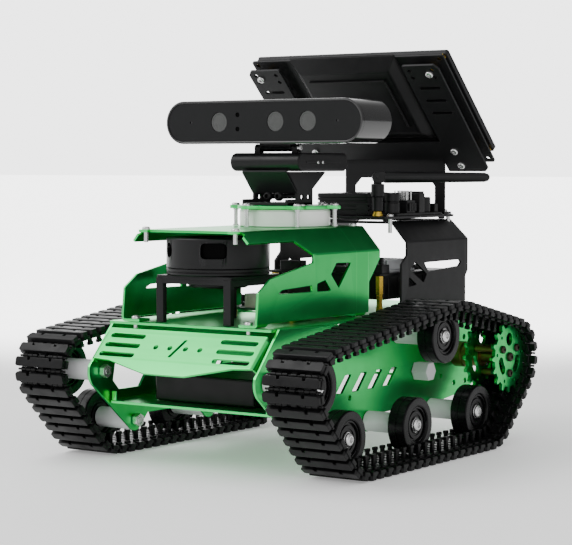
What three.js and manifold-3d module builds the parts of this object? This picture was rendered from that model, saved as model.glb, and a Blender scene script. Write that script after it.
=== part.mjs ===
// Tracked tank chassis: a robot-kit hull on two tracks, with a scanning lidar, a depth camera
// and a tilted touch screen. Millimetres, +Z up, front towards -Y, the vehicle's left is +X.
// Working coordinates put y = 0 at the middle road wheel; the root group then shifts the whole
// vehicle so that the origin lies at the centre of its footprint, on the ground.
import * as THREE from 'three';
import { mergeVertices } from 'three/addons/utils/BufferGeometryUtils.js';
import Module from 'manifold-3d';

const wasm = await Module();
wasm.setup();

// ---------------------------------------------------------------- driving dimensions
const GAP = 0.3;                       // clearance between neighbouring pieces
const SHEET = 1.8;                     // thickness of the folded aluminium sheet
const SIDES = [['left', 1], ['right', -1]];

const TRACK_X = 102;                   // middle of a track, from the vehicle's centre plane
const TRACK_WIDTH = 43;
const TREAD_WIDTH = 42;                // cross ribs are a little shorter than the links are wide
const LINK_THICKNESS = 4.2;
const TREAD_HEIGHT = 2;
const TREAD_LENGTH = 5.4;
const LINK_PITCH = 9.5;

const WHEEL_RADIUS = 18.8;
const WHEEL_WIDTH = 13;
const HUB_RADIUS = 10.5;
const HUB_WIDTH = 9;
const BORE_RADIUS = 3.3;
const AXLE_Z = WHEEL_RADIUS + GAP + LINK_THICKNESS + TREAD_HEIGHT;
const ROAD_WHEEL_Y = [-84.5, 0, 84.5];
const IDLER = { y: -119, z: 62 };
const RETURN_ROLLER = { y: 38, z: 82.5 };

const SPROCKET = { y: 119, z: 61.8 };
const SPROCKET_TEETH = 16;
const SPROCKET_ROOT = 21.7;
const SPROCKET_TIP = 25.3;
const SPROCKET_DISC = 2.6;             // thickness of each toothed disc
const SPROCKET_OFFSET = 10.9;          // disc centres, either side of the track's middle
const STANDOFF_CIRCLE = 11.5;

const HULL_HALF = 68.5;                // outer face of the side plates
const HULL_INNER = HULL_HALF - 2;
const DECK_TOP = 95.2;
const DECK_REAR = 162;
const BUMPER_PLANE = 203.7;            // the bumper's front face is z = y + BUMPER_PLANE
const BOTTOM_TOP = 41.4;

const COVER_HALF = 55.5;               // outer faces of the upper covers
const COVER_TOP_HALF = 41;
const FRONT_BEND_Z = 140.5;
const REAR_BEND_Z = 144.7;
const TOP_PLATE_Z = 157;
const REAR_TOP_Z = 159;
const REAR_DECK_Z = 162.8;

const LIDAR_Y = -78.5;
const LIDAR_RADIUS = 34.4;
const DRUM_RADIUS = 31.6;
const CAP_TOP = 171.7;

const CAMERA_HALF = 82;
const CAMERA_RADIUS = 15;
const CAMERA_Z = 229.3;
const CAMERA_FRONT = -29;
const CAMERA_DEPTH = 38;
const CAMERA_HINGE = { y: -9, z: 211.5 };

const SCREEN_TOP = { y: 84.2, z: 281.4 };   // upper edge of the display's face
const SCREEN_LEAN = THREE.MathUtils.degToRad(43.5);
const SCREEN_HALF = 82.5;
const SCREEN_HEIGHT = 100;
const STAND_Y = 147;

const ANTENNA = { x: 35.3, y: 66 };
const ANTENNA_HINGE_Z = 190.8;
const ANTENNA_LENGTH = 80.5;
const ANTENNA_RADIUS = 4.1;            // at the hinge; the blade tapers towards its tip
const ANTENNA_YAW = THREE.MathUtils.degToRad(35);

// ---------------------------------------------------------------- finishes
const finish = (color, roughness, metalness) => ({ color, roughness, metalness });
const GREEN = finish(0x55c97c, 0.42, 0.75);
const BLACK_METAL = finish(0x3a3b3d, 0.5, 0.6);
const BLACK_PLASTIC = finish(0x1d1d1f, 0.45, 0);
const RUBBER = finish(0x26272a, 0.7, 0);
const STEEL = finish(0xc9cacb, 0.3, 0.9);
const BRASS = finish(0xb99a45, 0.35, 0.9);
const SILVER = finish(0xe2e3e4, 0.4, 0.6);
const BOARD = finish(0x1f5b3b, 0.6, 0.1);
const GLASS = finish(0x101216, 0.1, 0.1);

// ---------------------------------------------------------------- geometry helpers
function solid(geometry) {
  geometry.deleteAttribute('normal');
  geometry.deleteAttribute('uv');
  const merged = mergeVertices(geometry, 1e-4);
  return new wasm.Manifold(new wasm.Mesh({
    numProp: 3,
    vertProperties: new Float32Array(merged.attributes.position.array),
    triVerts: new Uint32Array(merged.index.array),
  }));
}

function toGeometry(body) {
  const { vertProperties, triVerts } = body.getMesh();
  const geometry = new THREE.BufferGeometry();
  geometry.setAttribute('position', new THREE.BufferAttribute(vertProperties, 3));
  geometry.setIndex(new THREE.BufferAttribute(triVerts, 1));
  geometry.computeVertexNormals();
  return geometry;
}

const join = (...bodies) => bodies.flat().reduce((sum, body) => sum.add(body));
const cut = (body, ...tools) => tools.flat().reduce((rest, tool) => rest.subtract(tool), body);

// Points on an arc; angles in degrees, anticlockwise from the first coordinate's axis.
function arc(cu, cv, radius, from, to, steps) {
  return Array.from({ length: steps + 1 }, (_, i) => {
    const a = THREE.MathUtils.degToRad(from + (to - from) * i / steps);
    return [cu + radius * Math.cos(a), cv + radius * Math.sin(a)];
  });
}

const circle = (cu, cv, radius, sides = 12) => arc(cu, cv, radius, 0, 360, sides).slice(0, -1);

const rectangle = (u0, u1, v0, v1) => [[u0, v0], [u1, v0], [u1, v1], [u0, v1]];

// A stadium: a slot along the first coordinate with round ends.
function slot(cu, cv, length, width, steps = 3) {
  const r = width / 2;
  const h = length / 2 - r;
  return [...arc(cu + h, cv, r, -90, 90, steps), ...arc(cu - h, cv, r, 90, 270, steps)];
}

// Extrudes an outline from one value of an axis to another. The outline is (y, z) along x,
// (x, z) along y and (x, y) along z.
function prism(axis, outline, from, to) {
  const shape = new THREE.Shape(outline.map(([u, v]) => new THREE.Vector2(u, v)));
  const geometry = new THREE.ExtrudeGeometry(shape, { depth: to - from, bevelEnabled: false });
  const frames = {
    x: [[0, 0, 1], [1, 0, 0], [0, 1, 0]],
    y: [[1, 0, 0], [0, 0, -1], [0, 1, 0]],
    z: [[1, 0, 0], [0, 1, 0], [0, 0, 1]],
  };
  const [row0, row1, row2] = frames[axis];
  const matrix = new THREE.Matrix4().set(...row0, 0, ...row1, 0, ...row2, 0, 0, 0, 0, 1);
  const shift = { x: [from, 0, 0], y: [0, to, 0], z: [0, 0, from] }[axis];
  geometry.applyMatrix4(matrix);
  geometry.translate(...shift);
  return solid(geometry);
}

const box = (x0, x1, y0, y1, z0, z1) => prism('z', rectangle(x0, x1, y0, y1), z0, z1);
const rod = (axis, u, v, radius, from, to, sides = 10) =>
  prism(axis, circle(u, v, radius, sides), from, to);

// A body of revolution about the x axis through (y, z), from a profile of [x, radius] pairs.
function turned(profile, y, z, segments = 16) {
  const points = profile.map(([x, radius]) => new THREE.Vector2(radius, x));
  const geometry = new THREE.LatheGeometry(points, segments);
  geometry.rotateZ(-Math.PI / 2);
  geometry.translate(0, y, z);
  return solid(geometry);
}

// A sheet of the given thickness on the left of a path of corners, with mitred folds.
function sheetOutline(path, thickness = SHEET) {
  const normals = path.slice(1).map(([u, v], i) => {
    const du = u - path[i][0];
    const dv = v - path[i][1];
    const length = Math.hypot(du, dv);
    return [-dv / length, du / length];
  });
  const inner = path.map(([u, v], i) => {
    const [au, av] = normals[Math.max(i - 1, 0)];
    const [bu, bv] = normals[Math.min(i, normals.length - 1)];
    const k = thickness / (1 + au * bu + av * bv);
    return [u + (au + bu) * k, v + (av + bv) * k];
  });
  return [...path, ...inner.reverse()];
}

const mirrorX = (body) => body.mirror([1, 0, 0]);
const onBothSides = (body) => [body, mirrorX(body)];

const vehicle = new THREE.Group();

function part(name, look, body) {
  const mesh = new THREE.Mesh(toGeometry(body), new THREE.MeshStandardMaterial(look));
  mesh.name = name;
  vehicle.add(mesh);
  return mesh;
}

// ---------------------------------------------------------------- tracks
const beltCircles = [
  { ...IDLER, r: WHEEL_RADIUS + GAP },
  { ...RETURN_ROLLER, r: WHEEL_RADIUS + GAP },
  { ...SPROCKET, r: SPROCKET_ROOT + GAP },
  ...ROAD_WHEEL_Y.map((y) => ({ y, z: AXLE_Z, r: WHEEL_RADIUS + GAP })),
];
const ARC_SIDES = 20;

// The convex loop that a taut belt follows at a distance outside the wheels.
function beltLoop(offset) {
  const ring = beltCircles.flatMap(({ y, z, r }) =>
    arc(y, z, (r + offset) / Math.cos(Math.PI / ARC_SIDES), 270, 630, ARC_SIDES));
  const flat = beltCircles.slice(3).map(({ y, z, r }) => [y, z - r - offset]);
  const lowest = Math.min(...flat.map(([, z]) => z));
  const points = [...ring.map(([y, z]) => [y, Math.max(z, lowest)]), ...flat]
    .sort((a, b) => a[0] - b[0] || a[1] - b[1]);
  const turn = (o, a, b) => (a[0] - o[0]) * (b[1] - o[1]) - (a[1] - o[1]) * (b[0] - o[0]);
  const chain = (list) => {
    const hull = [];
    for (const p of list) {
      while (hull.length > 1 && turn(hull.at(-2), hull.at(-1), p) <= 1e-6) hull.pop();
      hull.push(p);
    }
    return hull.slice(0, -1);
  };
  return [...chain(points), ...chain([...points].reverse())];
}

// Points at equal steps round a closed loop, each with the direction of travel.
function stepsRound(loop, pitch) {
  const edges = loop.map((a, i) => {
    const b = loop[(i + 1) % loop.length];
    return { a, b, length: Math.hypot(b[0] - a[0], b[1] - a[1]) };
  });
  const total = edges.reduce((sum, edge) => sum + edge.length, 0);
  const count = Math.round(total / pitch);
  const steps = [];
  for (let i = 0, edge = 0, passed = 0; i < count; i += 1) {
    const target = total * i / count;
    while (passed + edges[edge].length < target) {
      passed += edges[edge].length;
      edge += 1;
    }
    const { a, b, length } = edges[edge];
    const t = (target - passed) / length;
    steps.push({
      y: a[0] + (b[0] - a[0]) * t,
      z: a[1] + (b[1] - a[1]) * t,
      du: (b[0] - a[0]) / length,
      dv: (b[1] - a[1]) / length,
    });
  }
  return steps;
}

// A cross rib on the outside of one link; its root is sunk into the link.
function treadRib({ y, z, du, dv }) {
  const half = TREAD_LENGTH / 2;
  const root = -0.8;
  const corner = (along, out) => [y + du * along + dv * out, z + dv * along - du * out];
  const outline = [
    corner(-half, root), corner(half, root),
    corner(half, TREAD_HEIGHT), corner(-half, TREAD_HEIGHT),
  ];
  return prism('x', outline, TRACK_X - TREAD_WIDTH / 2, TRACK_X + TREAD_WIDTH / 2);
}

function trackBelt() {
  const edge = TRACK_WIDTH / 2;
  const outer = prism('x', beltLoop(LINK_THICKNESS), TRACK_X - edge, TRACK_X + edge);
  const inner = prism('x', beltLoop(0), TRACK_X - edge - 1, TRACK_X + edge + 1);
  const toothDepth = SPROCKET_TIP - SPROCKET_ROOT;
  const grooves = [-1, 1].map((side) => {
    const middle = TRACK_X + side * SPROCKET_OFFSET;
    const half = SPROCKET_DISC / 2 + GAP;
    return prism('x', beltLoop(toothDepth), middle - half, middle + half);
  });
  const ribs = stepsRound(beltLoop(LINK_THICKNESS), LINK_PITCH).map(treadRib);
  const belt = join(outer, ribs);
  const ground = box(TRACK_X - edge - 1, TRACK_X + edge + 1, -200, 200, -5, 0);
  return cut(belt, inner, grooves, ground);
}

// ---------------------------------------------------------------- wheels and axles
// A wheel about the x axis, its middle at x = 0.
function wheelBody() {
  const rim = WHEEL_WIDTH / 2;
  const hub = HUB_WIDTH / 2;
  const profile = [
    [-hub, BORE_RADIUS], [-hub, HUB_RADIUS], [-rim, HUB_RADIUS], [-rim, WHEEL_RADIUS],
    [rim, WHEEL_RADIUS], [rim, HUB_RADIUS], [hub, HUB_RADIUS], [hub, BORE_RADIUS],
    [-hub, BORE_RADIUS],
  ];
  return turned(profile, 0, 0, 16);
}

// Nut inside the hull, shank through the plate, round spacer, journal and screw head.
function axleBody() {
  const hubIn = TRACK_X - HUB_WIDTH / 2 - GAP;
  const hubOut = TRACK_X + HUB_WIDTH / 2 + GAP;
  const profile = [
    [HULL_INNER - 5, 0], [HULL_INNER - 5, 5], [HULL_INNER - GAP, 5], [HULL_INNER - GAP, 2],
    [HULL_HALF + GAP, 2], [HULL_HALF + GAP, 7], [hubIn, 7], [hubIn, BORE_RADIUS - GAP],
    [hubOut, BORE_RADIUS - GAP], [hubOut, 5], [hubOut + 3, 5], [hubOut + 3, 0],
  ];
  return turned(profile, 0, 0, 8);
}

function toothedOutline() {
  const pitch = 360 / SPROCKET_TEETH;
  return Array.from({ length: SPROCKET_TEETH }, (_, i) => [
    ...arc(SPROCKET.y, SPROCKET.z, SPROCKET_ROOT, (i + 0.28) * pitch, (i + 0.72) * pitch, 1),
    ...arc(SPROCKET.y, SPROCKET.z, SPROCKET_TIP, (i + 0.89) * pitch, (i + 1.11) * pitch, 1),
  ]).flat();
}

const aroundSprocket = (radius, angle) => arc(SPROCKET.y, SPROCKET.z, radius, angle, angle, 1)[0];

function toothedDisc(offset) {
  const middle = TRACK_X + offset;
  const half = SPROCKET_DISC / 2;
  const disc = prism('x', toothedOutline(), middle - half, middle + half);
  const windows = [90, 210, 330].map((angle) => {
    const [y, z] = aroundSprocket(12.8, angle);
    return rod('x', y, z, 5.2, middle - half - 1, middle + half + 1, 10);
  });
  return cut(disc, windows);
}

// Outer disc with the heads of its three spacer screws and its middle screw.
function outerSprocket() {
  const face = TRACK_X + SPROCKET_OFFSET + SPROCKET_DISC / 2;
  const heads = [150, 270, 30].map((angle) => {
    const [y, z] = aroundSprocket(STANDOFF_CIRCLE, angle);
    return rod('x', y, z, 2.6, face - 1, face + 1.6, 6);
  });
  const middle = rod('x', SPROCKET.y, SPROCKET.z, 3, face - 1, face + 2, 8);
  return join(toothedDisc(SPROCKET_OFFSET), heads, middle);
}

// Inner disc with its hub, drive shaft and the three spacers that carry the outer disc.
function innerSprocket() {
  const outerBack = TRACK_X + SPROCKET_OFFSET - SPROCKET_DISC / 2 - GAP;
  const innerFace = TRACK_X - SPROCKET_OFFSET;
  const spacers = [150, 270, 30].map((angle) => {
    const [y, z] = aroundSprocket(STANDOFF_CIRCLE, angle);
    return rod('x', y, z, 2.5, innerFace, outerBack, 6);
  });
  const hub = turned([[HULL_INNER - 4, 0], [HULL_INNER - 4, 3], [HULL_HALF + 2, 3],
    [HULL_HALF + 2, 9], [innerFace, 9], [innerFace, 5], [outerBack - 4, 5],
    [outerBack - 4, 0]], SPROCKET.y, SPROCKET.z, 12);
  return join(toothedDisc(-SPROCKET_OFFSET), spacers, hub);
}

// ---------------------------------------------------------------- hull
// Side view of a side plate: bumper slope, round nose at the idler, a lug at each road wheel.
function sidePlateOutline() {
  const slope = BUMPER_PLANE - SHEET * Math.SQRT2 - 0.5;
  const noseRadius = 13;
  const lugRadius = 7.5;
  const hem = 29;
  const lugs = ROAD_WHEEL_Y.flatMap((y, i) => [
    ...(i ? [[y - 15, hem]] : []),
    ...arc(y, AXLE_Z, lugRadius, 222, 318, 5),
    [y + 14, hem],
  ]);
  const top = DECK_TOP;
  return [
    [top - slope, top], ...arc(-119.5, IDLER.z, noseRadius, 160, 222, 5), ...lugs,
    [124, hem], [150, 38.5], [146.5, 50], [146.5, 72], [153.4, 77], [153.4, 82.5],
    [130, 83], [118, top],
  ];
}

function sidePlate() {
  const from = HULL_INNER - 1;
  const to = HULL_HALF + 1;
  const plate = prism('x', sidePlateOutline(), HULL_INNER, HULL_HALF);
  const wheelHoles = [
    ...ROAD_WHEEL_Y.map((y) => [y, AXLE_Z]),
    [IDLER.y, IDLER.z], [RETURN_ROLLER.y, RETURN_ROLLER.z],
  ].map(([y, z]) => rod('x', y, z, 2.4, from, to, 8));
  const louvres = Array.from({ length: 5 }, (_, i) => {
    const y = -59.9 + 19.8 * i;
    return prism('x', [[y, 47], [y + 8.2, 47], [y + 19.6, 59], [y + 12.2, 59]], from, to);
  });
  const noseWindow = prism('x',
    [[-108, 54.5], [-101.5, 48], [-79.5, 48], [-72, 57.5], [-72, 67.5], [-105.3, 67.5]], from, to);
  const smallHoles = [[-22.8, 43.2], [119.3, 40.5], [136, 40.5], [134.2, 73]]
    .map(([y, z]) => rod('x', y, z, 1.8, from, to, 6));
  const shaftHole = rod('x', SPROCKET.y, SPROCKET.z, 7, from, to, 10);
  return cut(plate, wheelHoles, louvres, noseWindow, smallHoles, shaftHole);
}

// Six-sided spacer that stands out from the side plate, ahead of the sprocket.
const hexSpacer = () => rod('x', 64.4, 54, 7, HULL_HALF + GAP, 81, 6);

function bottomPlate() {
  const half = HULL_INNER - GAP;
  const base = box(-half, half, -112, 148, BOTTOM_TOP - SHEET, BOTTOM_TOP);
  const tabs = onBothSides(
    box(half - 4.8, half - 1, -111, -111 + SHEET, BOTTOM_TOP - 1, BOTTOM_TOP + 6.2));
  const through = (path) => prism('z', path, BOTTOM_TOP - SHEET - 1, BOTTOM_TOP + 1);
  const vents = [-60, -40, -20].map((y) => through(slot(0, y, 60, 5)));
  const belly = through(rectangle(-48, 48, 6, 140));
  return cut(join(base, tabs), vents, belly);
}

// The deck lies between the side plates, flush with their upper edges.
function deckPlate() {
  const half = HULL_INNER - GAP;
  const deck = box(-half, half, -112, DECK_REAR, DECK_TOP - SHEET, DECK_TOP);
  const cableSlots = [-30, 30].map((x) =>
    prism('z', slot(x, 5, 24, 10), DECK_TOP - SHEET - 1, DECK_TOP + 1));
  return cut(deck, cableSlots);
}

// Sloping bumper, drawn flat in (x, distance down the slope) and then tilted into place.
function bumper() {
  const width = HULL_INNER - GAP;
  const down = 27.6;                         // length of the slope at the corners
  const outline = [
    [-width, 0], [width, 0], [width, -down], [50, -down], [16, -down - 9],
    [-16, -down - 9], [-50, -down], [-width, -down],
  ];
  const plate = prism('z', outline, -SHEET, 0);
  const lip = 7;
  const flanges = onBothSides(box(width - 4, width - 4 + SHEET, -down, -3, -lip, -0.5));
  const through = (path) => prism('z', path, -SHEET - 1, 1);
  const vents = [0, 1, 2].flatMap((row) =>
    [-1, 1].map((side) => through(slot(side * (45.5 + row * 0.5), -6.5 - row * 8, 29, 3.6))));
  const holes = [-18, -6.4, 6.4, 18].map((x) => through(circle(x, -14.5, 1.7, 6)));
  const stroke = through([[-4.2, -22], [-1.2, -22], [4.2, -7], [1.2, -7]]);
  const body = cut(join(plate, flanges), vents, holes, stroke);
  const topY = 91 - BUMPER_PLANE;
  return body.rotate([45, 0, 0]).translate([0, topY, 91]);
}

// Portal that closes the hull's rear, open below between its two legs.
function rearPanel() {
  const half = HULL_INNER - GAP;
  const y = 143;
  const panel = box(-half, half, y, y + SHEET, BOTTOM_TOP + GAP, DECK_TOP - SHEET - GAP);
  const through = (path) => prism('y', path, y - 1, y + SHEET + 1);
  const portal = through(rectangle(-50, 50, BOTTOM_TOP - 1, 58));
  const vents = [-1, 0, 1].flatMap((k) => [67, 75].map((z) => through(slot(k * 38, z, 26, 4))));
  return cut(panel, portal, vents);
}

const battery = () => box(-40.8, 40.8, -95, 1, BOTTOM_TOP + GAP, 60);

// Gear motor along x: round can, gearbox and the boss that carries the sprocket shaft.
function motor() {
  const can = rod('x', SPROCKET.y, SPROCKET.z, 15.5, 6, 42, 14);
  const gearbox = rod('x', SPROCKET.y, SPROCKET.z, 18, 41, HULL_INNER - GAP, 14);
  const bore = rod('x', SPROCKET.y, SPROCKET.z, 3.6, HULL_INNER - 4.6, HULL_HALF, 10);
  return cut(join(can, gearbox), bore);
}

// ---------------------------------------------------------------- covers over the deck
function coverSection(topZ, bendZ) {
  return sheetOutline([
    [COVER_HALF, DECK_TOP + GAP], [COVER_HALF, bendZ], [COVER_TOP_HALF, topZ],
    [-COVER_TOP_HALF, topZ], [-COVER_HALF, bendZ], [-COVER_HALF, DECK_TOP + GAP],
  ]);
}

// Keeps the part of a folded cover that lies inside a side view.
function trimmed(body, sideView) {
  return body.intersect(prism('x', sideView, -COVER_HALF - 1, COVER_HALF + 1));
}

// Foot tabs fold inwards from the walls onto the deck.
function coverFeet(yCentres, length) {
  const inner = COVER_HALF - 15;
  return yCentres.flatMap((y) => onBothSides(
    box(inner, COVER_HALF - 0.5, y - length / 2, y + length / 2, DECK_TOP + GAP,
      DECK_TOP + GAP + SHEET)));
}

function throughWalls(path) {
  return prism('x', path, -COVER_HALF - 1, COVER_HALF + 1);
}

function frontCover() {
  const shell = prism('y', coverSection(TOP_PLATE_Z, FRONT_BEND_Z), -113, 37);
  const sideView = [
    [-113, 95], [-110.3, 118], [-97, 126.4], [-47, 135], [-47, FRONT_BEND_Z], [-58, 149.5],
    [-110, 149.5], [-110, 158], [37, 158], [37, 135], [22.5, 118.8], [22, 95],
  ];
  const slots = [
    [[-89, 116.2], [-83.5, 118.6], [-49, 119.8], [-48, 115.6]],
    [[-42.7, 120.6], [-33, 122.6], [-25.8, 115.2], [-42.7, 115.4]],
    [[-19.3, 133.5], [-0.9, 133.1], [-16.3, 116.5], [-25.8, 126.1]],
  ].map(throughWalls);
  const screws = [-105, 31].flatMap((y) => onBothSides(
    rod('z', 36.5, y, 2.6, TOP_PLATE_Z - 0.5, TOP_PLATE_Z + 1.8, 6)));
  const body = join(trimmed(shell, sideView), coverFeet([-106, 12], 12), screws);
  return cut(body, slots);
}

function rearCover() {
  const shell = prism('y', coverSection(REAR_TOP_Z, REAR_BEND_Z), 60, 165);
  const sideView = [
    [66, 95], [66.3, 128.9], [73.8, 135.2], [73.8, REAR_BEND_Z], [77, REAR_TOP_Z + 1],
    [162, REAR_TOP_Z + 1], [163, REAR_BEND_Z], [163, 120.7], [159.5, 116.5], [159.5, 95],
  ];
  const slots = [
    [[98.2, 128.9], [150.2, 129.1], [152.6, 127.2], [149, 124.4], [104, 122.5]],
    [[85.7, 130], [101.7, 120.6], [97.2, 114.5], [77.9, 124.6]],
    [[76.5, 119.5], [88, 113.5], [76.5, 112.5]],
  ].map(throughWalls);
  const opening = box(-30, 30, 50, 158, REAR_TOP_Z - SHEET - 1, REAR_TOP_Z + 1);
  const body = join(trimmed(shell, sideView), coverFeet([86, 152], 12));
  return cut(body, slots, opening);
}

// Flat plate carried a little above the rear cover on four short posts.
function rearDeck() {
  const plate = box(-46, 46, 63, 160, REAR_DECK_Z - SHEET, REAR_DECK_Z);
  const posts = [73, 153].flatMap((y) => onBothSides(
    rod('z', 38, y, 2.4, REAR_TOP_Z + GAP, REAR_DECK_Z - 0.5, 6)));
  const head = rod('z', 41.5, 73, 2.4, REAR_DECK_Z - 0.5, REAR_DECK_Z + 1.6, 6);
  return join(plate, posts, onBothSides(head));
}

// ---------------------------------------------------------------- lidar
// Flat top on two front legs and one at the back, with an open ring under the scanner's boss.
function lidarBracket() {
  const top = box(-30.6, 30.6, LIDAR_Y - 28, LIDAR_Y + 28, 124.6, 127);
  const legs = [[-27.6, -26], [27.6, -26], [-8, 26]].map(([x, forward]) => {
    const y = LIDAR_Y + forward;
    return box(x - 3, x + 3, y - 2, y + 2, DECK_TOP + GAP, 125);
  });
  const ring = rod('z', 0, LIDAR_Y, 20.8, 123, 128, 16);
  return cut(join(top, legs), ring);
}

function lidarBase() {
  const boss = rod('z', 0, LIDAR_Y, 20, 118.5, 128, 16);
  const ring = rod('z', 0, LIDAR_Y, LIDAR_RADIUS, 127.3, 131.6, 24);
  return join(boss, ring);
}

// Spinning head: a drum with the two optical windows cut into its wall.
function lidarHead() {
  const drum = rod('z', 0, 0, LIDAR_RADIUS, 131.9, 151.8, 24);
  const wide = prism('y', slot(0, 143.7, 17.4, 10.4), -LIDAR_RADIUS - 1, 6 - LIDAR_RADIUS);
  const round = rod('y', 0, 143.7, 5, -LIDAR_RADIUS - 1, 6 - LIDAR_RADIUS);
  const windows = [wide.rotate([0, 0, 31.3]), round.rotate([0, 0, -34])];
  return cut(drum, windows).translate([0, LIDAR_Y, 0]);
}

// ---------------------------------------------------------------- boards
function frontBoard() {
  const board = box(-20, 38, -46, 22, 101, 102.6);
  const posts = [[-15, -40], [34, -40], [-15, 17], [34, 17]].map(([x, y]) =>
    rod('z', x, y, 2.5, DECK_TOP + GAP, 101.5, 6));
  const capacitors = [[30, -38], [18, -38]].map(([x, y]) => rod('z', x, y, 5, 102, 113, 10));
  const terminal = box(-4, 10, -43, -33, 102, 112);
  const chips = box(0, 22, -15, 5, 102, 106);
  return join(board, posts, capacitors, terminal, chips);
}

function driverBoard() {
  const board = box(-50, 50, 48, 144, 121, 122.6);
  const module = box(-42, 42, 64, 140, 103, 121.5);
  const posts = [53, 138].flatMap((y) => onBothSides(
    rod('z', 45, y, 2.6, DECK_TOP + GAP, 121.5, 6)));
  const heatSink = Array.from({ length: 6 }, (_, i) =>
    box(8 + i * 7, 11 + i * 7, 66, 100, 122, 132));
  const plate = box(8, 46, 66, 100, 122, 125);
  const socket = box(38, 49, 50, 60, 122, 135);
  return join(board, module, posts, heatSink, plate, socket);
}

// Rounded computer case with three vents on each side.
function computerCase() {
  const r = 6;
  const [x0, x1, y0, y1] = [-24, 25, 74, 136];
  const outline = [
    ...arc(x1 - r, y1 - r, r, 0, 90, 3), ...arc(x0 + r, y1 - r, r, 90, 180, 3),
    ...arc(x0 + r, y0 + r, r, 180, 270, 3), ...arc(x1 - r, y0 + r, r, 270, 360, 3),
  ];
  const body = prism('z', outline, REAR_DECK_Z + GAP, 179);
  const vents = [167, 170.5, 174].map((z) => box(-18, 12, y0 - 1, y0 + 2, z, z + 1.4));
  return cut(body, vents);
}

// Narrow board beside the case, with its row of sockets and pin blocks.
function connectorBoard() {
  const z = REAR_DECK_Z + GAP;
  const board = box(27, 44.5, 78, 143, z, z + 2);
  const sockets = [
    rod('z', 36, 84, 6, z + 1, 179.5, 10), box(29, 43, 94, 106, z + 1, 174),
    box(28, 44, 110, 118, z + 1, 179), rod('z', 36, 128, 6, z + 1, 176, 10),
    box(30, 42, 136, 141, z + 1, 171),
  ];
  return join(board, sockets);
}

// ---------------------------------------------------------------- speaker drum and cap
const speakerDrum = () => rod('z', 0, 0, DRUM_RADIUS, TOP_PLATE_Z + GAP, 169, 24);

// Lugged cap plate, its six slim posts and their screw heads.
function drumCap() {
  const posts = Array.from({ length: 6 }, (_, i) => arc(0, 0, 36, 60 * i + 18, 60 * i + 18, 1)[0]);
  const plate = rod('z', 0, 0, 33.5, 169.3, CAP_TOP, 24);
  const lugs = posts.map(([x, y]) => rod('z', x, y, 4.2, 169.3, CAP_TOP, 8));
  const pins = posts.map(([x, y]) => rod('z', x, y, 1.8, TOP_PLATE_Z + GAP, 170, 6));
  const heads = posts.map(([x, y]) => rod('z', x, y, 2.8, CAP_TOP - 0.5, CAP_TOP + 1.4, 6));
  return join(plate, lugs, pins, heads);
}

// ---------------------------------------------------------------- depth camera
const CAMERA_MOUNT_HALF = 18.8;

// Folded bracket: a base, two cheeks that flare at the top, and a sloping front flange.
function cameraBracket() {
  const z0 = CAP_TOP + GAP;
  const base = box(-CAMERA_MOUNT_HALF, CAMERA_MOUNT_HALF, -25, 7, z0, z0 + SHEET);
  const cheekView = [
    [-25, z0], [7, z0], [7, 183], [24, 195], [-26, 195], [-12.5, 180.3], [-12.5, 176],
    [-25, 176],
  ];
  const cheek = prism('x', cheekView, CAMERA_MOUNT_HALF - SHEET, CAMERA_MOUNT_HALF);
  const flange = prism('x', [[-12.7, 180], [-26, 195], [-23.6, 195], [-10.3, 180]],
    -CAMERA_MOUNT_HALF, CAMERA_MOUNT_HALF);
  const holes = [[-6, 177.5], [2, 177.5]].map(([y, z]) => rod('x', y, z, 1.8, -30, 30, 8));
  return cut(join(base, onBothSides(cheek), flange), holes);
}

// Folding foot of the camera: a long rounded block with the lower hinge knuckles.
function cameraFoot() {
  const z0 = 195 + GAP;
  const top = 208;
  const sideView = [
    [34, z0], [36, z0 + 2], [36, top - 2], [34, top],
    ...arc(-19.5, (z0 + top) / 2, (top - z0) / 2, 90, 270, 6),
  ];
  const block = prism('x', sideView, -28.7, 28.7);
  const ears = onBothSides(prism('x',
    [...arc(CAMERA_HINGE.y, CAMERA_HINGE.z, 2.6, 0, 180, 6), [CAMERA_HINGE.y - 2.6, top - 1],
      [CAMERA_HINGE.y + 2.6, top - 1]], 13.3, 18));
  return join(block, ears);
}

// Camera bar with round ends, its upper hinge knuckle on a short neck, and the sunken face.
function cameraBody() {
  const back = CAMERA_FRONT + CAMERA_DEPTH;
  const bar = prism('y', slot(0, CAMERA_Z, 2 * CAMERA_HALF, 2 * CAMERA_RADIUS, 8),
    CAMERA_FRONT, back);
  const face = prism('y', slot(0, CAMERA_Z, 2 * CAMERA_HALF - 3, 2 * CAMERA_RADIUS - 3, 8),
    CAMERA_FRONT - 1, CAMERA_FRONT + 1);
  const lenses = [-36, 11.3, 37.8].map((x) =>
    rod('y', x, CAMERA_Z, 6.6, CAMERA_FRONT + 0.4, CAMERA_FRONT + 2, 12));
  const knuckle = prism('x',
    [...arc(CAMERA_HINGE.y, CAMERA_HINGE.z, 2.6, 180, 360, 6), [CAMERA_HINGE.y + 4, 215],
      [CAMERA_HINGE.y - 4, 215]], -13, 13);
  return join(cut(bar, face), lenses, knuckle);
}

// ---------------------------------------------------------------- screen
// Screen pieces are drawn flat: x across, the second coordinate down the slope from the
// display's upper edge, and the third out of the display's face.
function tiltedScreen(body) {
  const lean = THREE.MathUtils.radToDeg(SCREEN_LEAN);
  return body.rotate([-lean, 0, 0]).translate([0, SCREEN_TOP.y, SCREEN_TOP.z]);
}

const slab = (x0, x1, down0, down1, out0, out1) => box(x0, x1, down0, down1, out0, out1);

const display = () => tiltedScreen(slab(-SCREEN_HALF, SCREEN_HALF, 0, SCREEN_HEIGHT, -4, 0));

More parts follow.
